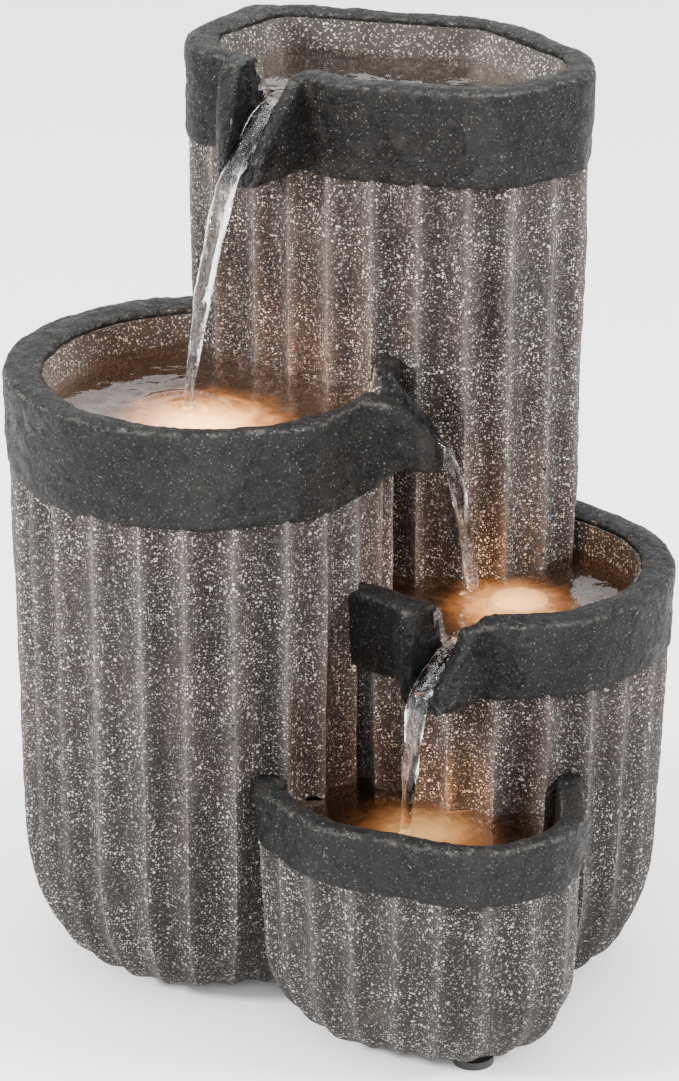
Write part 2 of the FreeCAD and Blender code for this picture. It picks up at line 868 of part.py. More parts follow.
def intake_screen():
    """The pull-off cap in front of the cover: a hollow box with upright slots and a dial seat."""
    body = pump_block("intake_screen", "sizes.screen_len", "sizes.pump_x - sizes.cover_len - sizes.cap_gap")
    half = "sizes.pump_side / 2 - sizes.screen_wall"
    hollow = [(f"-({half})", f"-({half})"), (half, f"-({half})"), (half, half), (f"-({half})", half)]
    depth = "sizes.screen_len - sizes.screen_wall"
    pocket(body, "XY_Plane", "screen_hollow", draw_polygon(hollow), depth, depth)
    seat = draw_circle("0", "0", "sizes.dial_stem_r + sizes.shaft_clear")
    pocket(body, "XY_Plane", "dial_seat", seat, "sizes.screen_len", "sizes.screen_len + 1")
    port_hole = draw_circle("0", "sizes.dial_r * 0.6", "sizes.dial_stem_r")
    pocket(body, "XY_Plane", "flow_port", port_hole, "sizes.screen_len", "sizes.screen_len + 1")
    across = "sizes.slot_w / 2"
    low, high = "sizes.slot_out", "sizes.slot_out + sizes.slot_h"
    slot = [(f"-({across})", low), (across, low), (across, high), (f"-({across})", high)]
    first = pocket(
        body, "XY_Plane", "slot", draw_polygon(slot), "sizes.screen_len", "sizes.screen_len + 1"
    )
    ring = body.newObject("PartDesign::PolarPattern", "slot_ring")
    ring.Originals = [first]
    ring.Axis = (next(f for f in body.Origin.OriginFeatures if f.Role == "Z_Axis"), [""])
    ring.Angle = 360
    ring.Occurrences = 4
    body.Tip = ring
    return body


def flow_dial():
    """The dial that covers or opens the flow port, on a stem that turns in the screen."""
    body = turned("flow_dial", [
        ("0", "-sizes.screen_wall - 1"),
        ("sizes.dial_stem_r", "-sizes.screen_wall - 1"),
        ("sizes.dial_stem_r", "sizes.cap_gap"),
        ("sizes.dial_r", "sizes.cap_gap"),
        ("sizes.dial_r", "sizes.cap_gap + sizes.dial_len"),
        ("0", "sizes.cap_gap + sizes.dial_len"),
    ])
    face = "sizes.pump_x - sizes.cover_len - sizes.cap_gap - sizes.screen_len"
    on_pump_axis(body, face)
    opening = draw_circle("0", "sizes.dial_r * 0.6", "sizes.dial_stem_r")
    pocket(body, "XY_Plane", "dial_port", opening, "sizes.dial_len + 1", "1 + sizes.dial_len")
    return body


def impeller():
    """Six straight vanes on a disc and hub, bored to run on the shaft."""
    body = turned("impeller", [
        ("sizes.shaft_r + sizes.shaft_clear", "0"),
        ("sizes.impeller_r", "0"),
        ("sizes.impeller_r", "1.2"),
        ("sizes.shaft_r * 2.6", "1.2"),
        ("sizes.shaft_r * 2.6", "sizes.impeller_len"),
        ("sizes.shaft_r + sizes.shaft_clear", "sizes.impeller_len"),
    ])
    vane = bound_sketch(body, "XY_Plane", "vane")
    polygon(vane, [
        ("sizes.shaft_r * 2", "-0.6"),
        ("sizes.impeller_r - 0.2", "-0.6"),
        ("sizes.impeller_r - 0.2", "0.6"),
        ("sizes.shaft_r * 2", "0.6"),
    ])
    pad = body.newObject("PartDesign::Pad", "vane_pad")
    pad.Profile = vane
    pad.setExpression("Length", "sizes.impeller_len - 0.2")
    ring = body.newObject("PartDesign::PolarPattern", "vane_ring")
    ring.Originals = [pad]
    ring.Axis = (next(f for f in body.Origin.OriginFeatures if f.Role == "Z_Axis"), [""])
    ring.Angle = 360
    ring.Occurrences = 6
    body.Tip = ring
    return on_pump_axis(body, ROTOR_FACE)


def rotor_magnet():
    """The ring magnet behind the impeller, turning with it in the motor block's bore."""
    corners = [
        ("sizes.shaft_r + sizes.shaft_clear", "0"),
        ("sizes.magnet_r", "0"),
        ("sizes.magnet_r", "sizes.magnet_len"),
        ("sizes.shaft_r + sizes.shaft_clear", "sizes.magnet_len"),
    ]
    return on_pump_axis(turned("rotor_magnet", corners), f"{ROTOR_FACE} + sizes.magnet_len")


def impeller_shaft():
    """The fixed ceramic shaft, from the rear bush to the front one."""
    length = f"{SHAFT_REAR} - sizes.pump_x + sizes.cover_len"
    shaft = cylinder("shaft_rod", "sizes.shaft_r", length)
    return piece(on_pump_axis(shaft, SHAFT_REAR), "impeller_shaft")


def bush(name, along, length):
    """One of the shaft's two bearings."""
    outside = on_pump_axis(cylinder(name + "_outside", "2 * sizes.shaft_r", length), along)
    inside = on_pump_axis(cylinder(name + "_inside", "sizes.shaft_r", length), along)
    cut = doc.addObject("Part::Cut", name)
    cut.Base, cut.Tool = outside, inside
    return cut


def shaft_bushes():
    """Both bearings, front and rear."""
    rear = bush("rear_bush", SHAFT_REAR, "sizes.bush_len")
    front = bush("front_bush", "sizes.pump_x", "sizes.cover_len")
    return group("shaft_bushes", [rear, front])


def pump_feet():
    """Four suction feet under the motor block and the volute."""
    members = []
    floor = "sizes.stone_bottom + sizes.stone_floor"
    places = [(end, sign) for end in ("front", "rear") for sign in ("-", "+")]
    for number, (end, sign) in enumerate(places, 1):
        cone = doc.addObject("Part::Cone", f"suction_foot{number}")
        height = f"sizes.pump_z - sizes.pump_side / 2 - ({floor})"
        bind(cone, Radius1="sizes.suction_r", Radius2="sizes.suction_top_r", Height=height)
        along = f"sizes.pump_x + sizes.suction_{end}"
        at(cone, along, f"sizes.pump_y {sign} sizes.suction_side", floor)
        members.append(cone)
    return group("pump_feet", members)


def outlet_nozzle():
    """The flanged stub that the riser hose pushes over."""
    body = turned("outlet_nozzle", [
        ("sizes.nozzle_bore_r", "0"),
        ("sizes.nozzle_r + 1", "0"),
        ("sizes.nozzle_r + 1", "3"),
        ("sizes.nozzle_r", "3"),
        ("sizes.nozzle_r", "sizes.nozzle_len"),
        ("sizes.nozzle_bore_r", "sizes.nozzle_len"),
    ])
    at(body, RISER_X, RISER_Y, "sizes.pump_z + sizes.pump_side / 2")
    return body


def riser_hose():
    """The hose from the pump's nozzle up to the fitting under the tower basin."""
    low = "sizes.pump_z + sizes.pump_side / 2 + 5"
    high = "sizes.tower_ledge - sizes.outlet_nut_t - 3"
    outer = "sizes.nozzle_r + sizes.hose_wall"
    return tube("riser_hose", outer, "sizes.nozzle_r", f"{high} - ({low})", RISER_X, RISER_Y, low)


def basin_outlet():
    """The flanged fitting through the tower basin's floor, with a stub for the hose below."""
    body = turned("basin_outlet", [
        ("sizes.nozzle_bore_r", "-30"),
        ("sizes.nozzle_r", "-30"),
        ("sizes.nozzle_r", "-sizes.cup_floor - sizes.outlet_nut_t - 3"),
        ("sizes.outlet_stem_r", "-sizes.cup_floor - sizes.outlet_nut_t - 3"),
        ("sizes.outlet_stem_r", "sizes.gasket_t"),
        ("sizes.outlet_flange_r", "sizes.gasket_t"),
        ("sizes.outlet_flange_r", "sizes.gasket_t + sizes.outlet_flange_t"),
        ("sizes.nozzle_bore_r", "sizes.gasket_t + sizes.outlet_flange_t"),
    ])
    at(body, RISER_X, RISER_Y, "sizes.tower_ledge + sizes.cup_floor")
    return body


def outlet_nut():
    """The hexagonal nut that pulls the fitting down on its gasket, from under the floor."""
    prism = doc.addObject("Part::Prism", "nut_hexagon")
    bind(prism, Circumradius="sizes.outlet_nut_r", Height="sizes.outlet_nut_t")
    prism.Polygon = 6
    low = "sizes.tower_ledge - sizes.outlet_nut_t"
    at(prism, RISER_X, RISER_Y, low)
    hole = cylinder("nut_hole", "sizes.outlet_stem_r", "sizes.outlet_nut_t", RISER_X, RISER_Y, low)
    cut = doc.addObject("Part::Cut", "nut_cut")
    cut.Base, cut.Tool = prism, hole
    return piece(cut, "outlet_nut")


def outlet_gasket():
    """The rubber ring between the outlet fitting's flange and the basin's floor."""
    low = "sizes.tower_ledge + sizes.cup_floor"
    outer = "sizes.outlet_flange_r - 1"
    height = "sizes.gasket_t"
    return tube("outlet_gasket", outer, "sizes.outlet_stem_r", height, RISER_X, RISER_Y, low)


pump_housing()
pump_volute()
pump_cover()
intake_screen()
flow_dial()
impeller()
rotor_magnet()
impeller_shaft()
shaft_bushes()
pump_feet()
outlet_nozzle()
riser_hose()
basin_outlet()
outlet_nut()
outlet_gasket()

# ---------------------------------------------------------------- lamps


def lamp(name, place, turn):
    """A sealed lamp: gasket, flanged housing with a stem for its lead, board and lens.

    `place` is where the gasket sits, as x, y and z formulas, and `turn` points the lens.
    """
    inner = "sizes.lamp_r - sizes.lamp_wall"
    housing = turned(f"{name}_lamp_housing", [
        ("sizes.lead_d / 2", "-sizes.lamp_stem_len"),
        ("sizes.lamp_stem_r", "-sizes.lamp_stem_len"),
        ("sizes.lamp_stem_r", "sizes.gasket_t"),
        ("sizes.lamp_r", "sizes.gasket_t"),
        ("sizes.lamp_r", "sizes.gasket_t + sizes.lamp_t"),
        (inner, "sizes.gasket_t + sizes.lamp_t"),
        (inner, "sizes.gasket_t + sizes.lamp_wall"),
        ("sizes.lead_d / 2", "sizes.gasket_t + sizes.lamp_wall"),
    ])
    gasket = turned(f"{name}_lamp_gasket", [
        ("sizes.lamp_stem_r", "0"),
        ("sizes.lamp_r - 1", "0"),
        ("sizes.lamp_r - 1", "sizes.gasket_t"),
        ("sizes.lamp_stem_r", "sizes.gasket_t"),
    ])
    board_low = "sizes.gasket_t + sizes.lamp_wall"
    board = turned(f"{name}_lamp_board", [
        ("0", board_low),
        (inner, board_low),
        (inner, f"{board_low} + sizes.board_t"),
        ("sizes.chip_r", f"{board_low} + sizes.board_t"),
        ("sizes.chip_r", f"{board_low} + sizes.board_t + 0.6"),
        ("0", f"{board_low} + sizes.board_t + 0.6"),
    ])
    lens_low = "sizes.gasket_t + sizes.lamp_t - 1"
    lens = turned(f"{name}_lamp_lens", [
        ("0", lens_low),
        (inner, lens_low),
        (inner, f"{lens_low} + sizes.lens_t"),
        ("0", f"{lens_low} + sizes.lens_t"),
    ])
    for body in (gasket, housing, board, lens):
        body.Placement = FreeCAD.Placement(Vector(), turn)
        at(body, *place)


upright = FreeCAD.Rotation()
for name in ("left", "right"):
    spot = (f"sizes.{name}_lamp_x", f"sizes.{name}_lamp_y", f"sizes.{name}_ledge + sizes.cup_floor")
    lamp(name, spot, upright)
front_turn = FreeCAD.Rotation(Vector(0, 0, 1), lamp_out)
lamp("front", tuple(str(round(value, 6)) for value in lamp_place), front_turn)

# ---------------------------------------------------------------- leads and junction box


def lead_path(points):
    """Straight runs joined by tangent arcs: each radius is 0.45 of the shorter run there."""
    edges = []
    start = points[0]
    radii = []
    for before, corner, after in zip(points, points[1:], points[2:]):
        into, out = corner - before, after - corner
        turn = into.getAngle(out)
        trim = 0.45 * min(into.Length, out.Length)
        radii.append(trim / math.tan(turn / 2))
        first = corner - into.normalize() * trim
        last = corner + out.normalize() * trim
        toward = (first + last) * 0.5 - corner
        centre = corner + toward.normalize() * math.hypot(trim, radii[-1])
        middle = centre + (corner - centre).normalize() * radii[-1]
        edges.append(Part.LineSegment(start, first).toShape())
        edges.append(Part.Arc(first, middle, last).toShape())
        start = last
    edges.append(Part.LineSegment(start, points[-1]).toShape())
    return Part.Wire(edges), min(radii)


def lead(label, points):
    """A round lead swept along its path."""
    path, tightest = lead_path([Vector(*point) for point in points])
    ahead = path.Edges[0].tangentAt(path.Edges[0].FirstParameter)
    ring = Part.Wire([Part.makeCircle(size("lead_d") / 2, Vector(*points[0]), ahead)])
    solid = path.makePipeShell([ring], True, True)
    expected = math.pi * (size("lead_d") / 2) ** 2 * path.Length
    if abs(solid.Volume / expected - 1) > 0.01:
        raise RuntimeError(f"{label} is not a plain tube")
    print(label, "length", round(path.Length, 1), "tightest bend", round(tightest, 1))
    feature = doc.addObject("Part::Feature", label + "_tube")
    feature.Shape = solid
    feature.Placement = FreeCAD.Placement()
    return piece(feature, label)


JUNCTION = tuple(size(f"junction_{letter}") for letter in ("x", "y", "z"))
jx, jy, jz = JUNCTION
lamp_drop = size("lamp_stem_len")
left_exit = size("left_ledge") + size("cup_floor") - lamp_drop
right_exit = size("right_ledge") + size("cup_floor") - lamp_drop
left_x, left_y = size("left_lamp_x"), size("left_lamp_y")
right_x, right_y = size("right_lamp_x"), size("right_lamp_y")
front_exit = lamp_place - lamp_out * lamp_drop
front_next = lamp_place - lamp_out * (lamp_drop + 14)
rear_x = size("pump_x") + size("volute_len") + size("housing_len")

lead("left_lamp_lead", [
    (left_x, left_y, left_exit),
    (left_x, left_y, 160.0),
    (left_x + 4, left_y + 12, 132.0),
    (-20.0, 24.0, 112.0),
    (12.0, 30.0, 114.0),
    (38.0, jy + 6, 126.0),
    (jx, jy + 6, 128.0),
])
lead("right_lamp_lead", [
    (right_x, right_y, right_exit),
    (right_x, right_y, 98.0),
    (right_x + 1, right_y + 14, 80.0),
    (right_x + 2, right_y + 34, 82.0),
    (right_x + 3, jy + 5, 98.0),
    (right_x + 3, jy + 5, jz),
])
lead("front_lamp_lead", [
    tuple(front_exit),
    tuple(front_next),
    (52.0, -14.0, 62.0),
    (56.0, 8.0, 70.0),
    (61.0, 27.0, 84.0),
    (62.0, jy + 9, 102.0),
    (62.0, jy + 9, jz),
])
lead("pump_lead", [
    (rear_x, size("pump_y"), size("pump_z")),
    (rear_x + 13, size("pump_y"), size("pump_z")),
    (rear_x + 25, size("pump_y") - 2, size("pump_z") + 11),
    (rear_x + 29, size("pump_y") - 7, size("pump_z") + 34),
    (rear_x + 29, jy + 16, jz - 22),
    (rear_x + 29, jy + 16, jz),
])


def junction_box():
    """The potted box where the leads join, its back shaped to the tower's inner wall."""
    box = doc.addObject("Part::Box", "junction_block")
    bind(box, Length="sizes.junction_w", Width="sizes.junction_d", Height="sizes.junction_h")
    at(box, "sizes.junction_x", "sizes.junction_y", "sizes.junction_z")
    bedded = doc.addObject("Part::Cut", "junction_bedded")
    bedded.Base = box
    bedded.Tool = next(thing for thing in PIECES if thing.Label == "tower_column")
    return piece(bedded, "lead_junction")


junction_box()

# ---------------------------------------------------------------- doorway


def access_door():
    """The pull-off door: a plate in the recess, a plug in the doorway and a grip to pull."""
    body = doc.addObject("PartDesign::Body", "access_door_body")
    layers = (
        ("plate", "sizes.door_width / 2", "sizes.door_height / 2",
         "sizes.door_gap - sizes.recess", "sizes.door_plate"),
        ("plug", "sizes.door_width / 2 - sizes.door_step", "sizes.door_height / 2 - sizes.door_step",
         "sizes.door_gap - sizes.recess - sizes.door_plug", "sizes.door_plug"),
        ("grip", "sizes.grip_w / 2", "sizes.grip_h / 2",
         "sizes.door_gap - sizes.recess + sizes.door_plate", "sizes.grip_len"),
    )
    for name, half_width, half_height, near, length in layers:
        sketch = bound_sketch(body, "XZ_Plane", f"door_{name}")
        sketch.setExpression("AttachmentOffset.Base.z", f"-({near})")
        polygon(sketch, [
            (f"-({half_width})", f"-({half_height})"),
            (half_width, f"-({half_height})"),
            (half_width, half_height),
            (f"-({half_width})", half_height),
        ])
        pad = body.newObject("PartDesign::Pad", f"door_{name}_pad")
        pad.Profile = sketch
        pad.Reversed = True
        pad.setExpression("Length", length)
    body.Placement = FreeCAD.Placement(Vector(), FreeCAD.Rotation(Vector(0, 0, 1), size("back_turn")))
    at(body, "sizes.back_x", "sizes.back_y", "sizes.door_z")
    return piece(body, "access_door")


def cord_grommet():
    """The rubber grommet in the back wall, with a head on each side and a bore for the cord."""
    turn = FreeCAD.Rotation(Vector(0, 0, 1), size("back_turn"))
    lay = turn.multiply(FreeCAD.Rotation(Vector(1, 0, 0), -90))
    head = "sizes.grommet_hole_r + sizes.grommet_head"
    inner = "-sizes.recess - sizes.frame_depth"
    body = turned("cord_grommet", [
        ("sizes.cord_r", f"{inner} - 2"),
        (head, f"{inner} - 2"),
        (head, inner),
        ("sizes.grommet_hole_r", inner),
        ("sizes.grommet_hole_r", "-sizes.recess"),
        (head, "-sizes.recess"),
        (head, "-sizes.recess + sizes.grommet_head"),
        ("sizes.cord_r", "-sizes.recess + sizes.grommet_head"),
    ])
    body.Placement = FreeCAD.Placement(Vector(), lay)
    at(body, "sizes.back_x", "sizes.back_y", "sizes.grommet_z")
    return body


access_door()
cord_grommet()

# ---------------------------------------------------------------- check and write

doc.recompute()
for thing in doc.Objects:
    if "Invalid" in thing.State or "Error" in thing.State:
        raise RuntimeError(f"{thing.Name} did not recompute: {thing.State}")
for thing in PIECES:
    if thing.Shape.isNull() or not thing.Shape.isValid():
        raise RuntimeError(f"{thing.Label} is not a valid shape")
for thing in PIECES:
    thing.Shape.exportStep(f"parts/{thing.Label}.step")
print(len(PIECES), "sub-parts")
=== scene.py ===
import json
import math
import random

import bmesh
import bpy
from mathutils import Matrix, Vector, kdtree, noise


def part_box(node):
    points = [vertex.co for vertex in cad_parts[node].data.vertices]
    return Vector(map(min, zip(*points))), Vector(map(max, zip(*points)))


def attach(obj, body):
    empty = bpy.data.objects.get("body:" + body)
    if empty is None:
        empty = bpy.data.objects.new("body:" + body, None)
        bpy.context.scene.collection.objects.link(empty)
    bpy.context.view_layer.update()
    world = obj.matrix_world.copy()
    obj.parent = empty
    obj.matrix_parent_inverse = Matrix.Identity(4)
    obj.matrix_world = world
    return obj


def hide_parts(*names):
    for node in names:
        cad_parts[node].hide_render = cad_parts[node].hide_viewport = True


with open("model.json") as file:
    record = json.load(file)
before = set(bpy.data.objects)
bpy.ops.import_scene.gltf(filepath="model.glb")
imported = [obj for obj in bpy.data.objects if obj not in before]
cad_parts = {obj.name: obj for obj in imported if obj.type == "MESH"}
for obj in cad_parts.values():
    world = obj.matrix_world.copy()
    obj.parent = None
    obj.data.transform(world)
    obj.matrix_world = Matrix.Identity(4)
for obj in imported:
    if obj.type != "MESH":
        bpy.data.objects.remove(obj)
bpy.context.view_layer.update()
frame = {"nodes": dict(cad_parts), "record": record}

# Tabletop water fountain: four fluted stone pots in a cascade, dark rim bands with pouring
# chutes, lit pools and falling water. Metres, +Z up, the front bowl towards -Y.

MM = 0.001

# ---------------------------------------------------------------- sizes

POTS = ("tower", "left", "right", "front")

# Each pot's outline is a taut band round these circles (x, y, radius) in millimetres.
OUTLINES = {
    "tower": [
        (-44.0, 64.6, 14.0),
        (17.0, 42.4, 35.0),
        (50.3, 30.1, 30.0),
        (72.0, 33.7, 20.0),
        (62.5, 41.9, 30.0),
        (40.6, 69.3, 32.0),
        (-26.9, 103.0, 14.0),
        (-38.0, 73.7, 20.0),
    ],
    "left": [(-51.0, 8.5, 72.5), (-20.0, -39.5, 19.0)],
    "right": [(62.5, -4.5, 61.0), (33.0, 21.5, 62.0)],
    "front": [
        (-19.5, -62.8, 12.0),
        (9.0, -72.8, 30.0),
        (47.5, -82.0, 35.0),
        (58.0, -82.0, 30.5),
        (78.5, -22.5, 10.0),
        (-21.5, -22.5, 10.0),
    ],
    "front_bowl": [
        (-7.5, -63.7, 12.0),
        (12.8, -70.2, 25.0),
        (47.8, -81.8, 28.0),
        (54.5, -82.3, 24.0),
        (67.5, -22.5, 10.0),
        (-9.5, -22.5, 10.0),
    ],
    "tower_bowl": [
        (-33.0, 66.0, 12.0),
        (17.0, 42.4, 24.0),
        (50.3, 30.1, 19.0),
        (67.0, 37.0, 14.0),
        (62.5, 41.9, 19.0),
        (40.6, 69.3, 21.0),
        (-18.0, 93.0, 12.0),
        (-33.0, 74.0, 12.0),
    ],
    "left_bowl": [(-48.0, 4.5, 60.5), (-47.0, 4.5, 60.5)],
}
AXES = {"tower": (17.5, 57.0), "left": (-48.0, 5.0), "right": (53.0, 4.0), "front": (29.0, -58.0)}
REACH = {"tower": 60.0, "left": 72.0, "right": 68.0, "front": 55.0}

# Foot of each pot: height and inset of its quarter-round, and how much narrower it is above it.
FOOT = {
    "tower": (55.0, 12.0, 0.035),
    "left": (55.0, 28.0, 0.015),
    "right": (55.0, 28.0, 0.04),
    "front": (34.0, 22.0, 0.03),
}
RIGHT_RIM_WIDTH = 12.5
FLUTE_PITCH = 17.6
FLUTE_DEPTH = {"tower": 4.3, "left": 4.3, "right": 4.3, "front": 3.0}
RIM_PROUD = 1.5
WALL = 10.0
FLOOR = 11.0
CUP_FLOOR = 5.0
RIM_LIP = 3.0
FRONT_RIM_LIP = 20.0
RIM_VOXEL = 1.1
RIM_SOFTENING = 3
WATER_DOWN = {"tower": 13.5, "left": 13.5, "right": 13.5, "front": 14.0}

# Chutes: tip (x, y), floor height at the tip, heading in degrees from +X.
CHUTES = {
    "tower": (-37.5, 17.5, 305.0, -128.8),
    "left": (37.0, -9.0, 207.0, 2.0),
    "right": (28.5, -68.5, 136.0, -129.8),
}
# Openings between the hollow pots, as the corners of boxes.
WINDOWS = {
    "left": ((-46.0, 8.0, 18.0), (4.0, 56.0, 125.0)),
    "right": ((24.0, -12.0, 42.0), (76.0, 30.0, 125.0)),
}
# Where each stream lands: x, y and the pool that it falls into.
LANDINGS = {
    "tower": (-55.9, -5.8, "left"),
    "left": (48.8, -1.0, "right"),
    "right": (23.2, -74.5, "front"),
}


# A chute hangs below its rim's band, so the band's own lower edge is kept here.
LOWEST_LEDGE = {"tower": 304.0, "left": 199.0, "right": 133.4, "front": 76.6}

# The tower's flat back: a place on it, and its turn about Z.
BACK = (9.5, 108.3)
BACK_TURN = math.radians(-11.65)

# The pots that each pot is trimmed to.
BEHIND = {"tower": (), "left": ("tower",), "right": ("tower", "left"), "front": ("right", "left")}

# The damp stone below a chute: how far round its tip, and how far down from it.
DAMP_REACH = 16.0
DAMP_FALL = 60.0
# The damp ring in the front bowl: its centre (x, y), its radius and its lowest level.
FRONT_DAMP = (30.0, -62.0, 42.0, 20.0)

# The warm light in each pool: its centre, its strength and how far it spreads.
GLOW = {
    "tower": ((17.0, 55.0, 320.0), 0.0, 30.0),
    "left": ((-50.0, -20.0, 222.0), 4.0, 46.0),
    "right": ((62.0, -16.0, 150.0), 2.4, 34.0),
    "front": ((30.0, -74.0, 84.0), 0.7, 40.0),
}
POOL_DEPTH = 9.0
POOL_STEP = 2.0
POOL_ROUNDS = 30
# Cross-sections along a stream: in its chute, and in its fall.
SHEET_STEPS = 14
FALL_STEPS = 60
WATER_IOR = 1.33
STONE_SHINE = 0.25


def level(name):
    """The rim band's lowest and highest level, in millimetres, from the CAD."""
    low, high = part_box(f"{name}_rim")
    return max(low.z / MM, LOWEST_LEDGE[name]), high.z / MM


LEDGE = {name: level(name)[0] for name in POTS}
TOP = {name: level(name)[1] for name in POTS}
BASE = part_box("left_column")[0].z / MM
WATER = {name: TOP[name] - WATER_DOWN[name] for name in POTS}

# ---------------------------------------------------------------- bands


def grown(circles, grow):
    """The same circles, larger or smaller, but never smaller than a blunt corner."""
    return [(x, y, max(r + grow, 0.8)) for x, y, r in circles]


def band(circles, step):
    """Evenly spaced (place, outward normal) pairs along the taut band round the circles."""
    count = len(circles)
    normals = []
    for i in range(count):
        x0, y0, r0 = circles[i]
        x1, y1, r1 = circles[(i + 1) % count]
        tilt = math.acos((r0 - r1) / math.hypot(x1 - x0, y1 - y0))
        normals.append(math.atan2(y1 - y0, x1 - x0) - tilt)
    runs = []
    for i in range(count):
        x, y, r = circles[i]
        start = normals[i - 1]
        sweep = (normals[i] - start) % (2 * math.pi)
        runs.append((r * sweep, "arc", x, y, r, start))
        nx, ny, nr = circles[(i + 1) % count]
        out = Vector((math.cos(normals[i]), math.sin(normals[i])))
        first = Vector((x, y)) + out * r
        last = Vector((nx, ny)) + out * nr
        runs.append(((last - first).length, "line", first, last, out, None))
    total = sum(run[0] for run in runs)
    number = step(total) if callable(step) else round(total / step)
    marks = []
    for k in range(number):
        left = k / number * total
        for run in runs:
            if left <= run[0]:
                break
            left -= run[0]
        if run[1] == "arc":
            _, _, x, y, r, start = run
            out = Vector((math.cos(start + left / r), math.sin(start + left / r)))
            marks.append((Vector((x, y)) + out * r, out))
        else:
            _, _, first, last, out, _ = run
            marks.append((first.lerp(last, left / run[0]), out))
    return marks


def wander(place, scale, seed):
    """Smooth noise in three octaves about zero, for a place in millimetres."""
    spot = Vector(place) / scale + Vector((seed, -seed, seed * 0.5))
    return noise.noise(spot) + 0.5 * noise.noise(spot * 2.1) + 0.25 * noise.noise(spot * 4.3)


# ---------------------------------------------------------------- mesh helpers


def new_object(name, bm):
    """An object in the scene made from a bmesh, which is freed."""
    bm.normal_update()
    mesh = bpy.data.meshes.new(name)
    bm.to_mesh(mesh)
    bm.free()
    thing = bpy.data.objects.new(name, mesh)
    bpy.context.scene.collection.objects.link(thing)
    return thing


def grid_solid(name, rings):
    """A closed solid from rings of points in millimetres, capped at both ends."""
    bm = bmesh.new()
    rows = [[bm.verts.new(Vector(p) * MM) for p in ring] for ring in rings]
    count = len(rings[0])
    for low, high in zip(rows, rows[1:]):
        for i in range(count):
            j = (i + 1) % count
            bm.faces.new((low[i], low[j], high[j], high[i]))
    for ring, flip in ((rows[0], True), (rows[-1], False)):
        centre = sum((v.co for v in ring), Vector()) / count
        hub = bm.verts.new(centre)
        for i in range(count):
            j = (i + 1) % count
            bm.faces.new((ring[j], ring[i], hub) if flip else (ring[i], ring[j], hub))
    return new_object(name, bm)


def face_outward(thing):
    """Turn every face of a closed solid to point out of it."""
    bm = bmesh.new()
    bm.from_mesh(thing.data)
    bmesh.ops.recalc_face_normals(bm, faces=bm.faces)
    bm.to_mesh(thing.data)
    bm.free()
    return thing


def torus_solid(name, stations):
    """A closed ring: each station is one closed cross-section, in millimetres."""
    bm = bmesh.new()
    rows = [[bm.verts.new(Vector(p) * MM) for p in station] for station in stations]
    count = len(stations[0])
    for k in range(len(rows)):
        here, there = rows[k], rows[(k + 1) % len(rows)]
        for i in range(count):
            j = (i + 1) % count
            bm.faces.new((here[i], there[i], there[j], here[j]))
    bmesh.ops.recalc_face_normals(bm, faces=bm.faces)
    return new_object(name, bm)


def box_solid(name, low, high, turn=0.0, origin=(0.0, 0.0)):
    """A box in millimetres, turned about Z and moved to its origin."""
    bm = bmesh.new()
    bmesh.ops.create_cube(bm, size=1.0)
    size = Vector(high) - Vector(low)
    middle = (Vector(high) + Vector(low)) / 2
    for v in bm.verts:
        v.co = Vector((v.co.x * size.x, v.co.y * size.y, v.co.z * size.z)) + middle
    place = Matrix.Translation((origin[0], origin[1], 0)) @ Matrix.Rotation(turn, 4, "Z")
    bmesh.ops.transform(bm, matrix=Matrix.Scale(MM, 4) @ place, verts=bm.verts)
    return new_object(name, bm)


def apply_all(thing):
    """Replace the object's mesh with what its modifiers make of it."""
    graph = bpy.context.evaluated_depsgraph_get()
    mesh = bpy.data.meshes.new_from_object(thing.evaluated_get(graph))
    old = thing.data
    thing.modifiers.clear()
    thing.data = mesh
    bpy.data.meshes.remove(old)
    return thing


def combine(thing, tool, operation="DIFFERENCE"):
    """Cut one closed solid from another, or join it on."""
    cut = thing.modifiers.new("cut", "BOOLEAN")
    cut.object = tool
    cut.operation = operation
    cut.solver = "MANIFOLD"
    return apply_all(thing)


def copy_of(thing, name):
    """A separate copy of an object and its mesh."""
    other = thing.copy()
    other.data = thing.data.copy()
    other.name = name
    bpy.context.scene.collection.objects.link(other)
    return other


def remove(*things):
    """Take helper objects and their meshes out of the file."""
    for thing in things:
        mesh = thing.data
        bpy.data.objects.remove(thing)
        bpy.data.meshes.remove(mesh)


def remesh(thing, voxel, smooth):
    """One even skin over joined shapes, softened: how a casting's edges look."""
    skin = thing.modifiers.new("skin", "REMESH")
    skin.mode = "VOXEL"
    skin.voxel_size = voxel * MM
    soften = thing.modifiers.new("soften", "SMOOTH")
    soften.factor = 0.5
    soften.iterations = smooth
    return apply_all(thing)


def roughen(thing, amounts, seed):
    """Push points along their normals by noise: (scale, height) pairs in millimetres."""
    mesh = thing.data
    moves = []
    for v in mesh.vertices:
        place = v.co / MM
        push = sum(h * wander(place, s, seed + k) for k, (s, h) in enumerate(amounts))
        moves.append(v.co + v.normal * push * MM)
    for v, place in zip(mesh.vertices, moves):
        v.co = place
    mesh.update()


def paint(thing, name, value):
    """A point attribute worked out from each point's place in millimetres and its normal."""
    mesh = thing.data
    layer = mesh.attributes.new(name, "FLOAT", "POINT")
    layer.data.foreach_set("value", [value(v.co / MM, v.normal) for v in mesh.vertices])


def shade_smooth(thing, angle=None):
    """Smooth shading, with edges sharper than an angle in degrees kept crisp."""
    thing.data.shade_smooth()
    if angle:
        thing.data.set_sharp_from_angle(angle=math.radians(angle))


# ---------------------------------------------------------------- pots

COLUMNS_PER_FLUTE = 12
ROW = 1.9


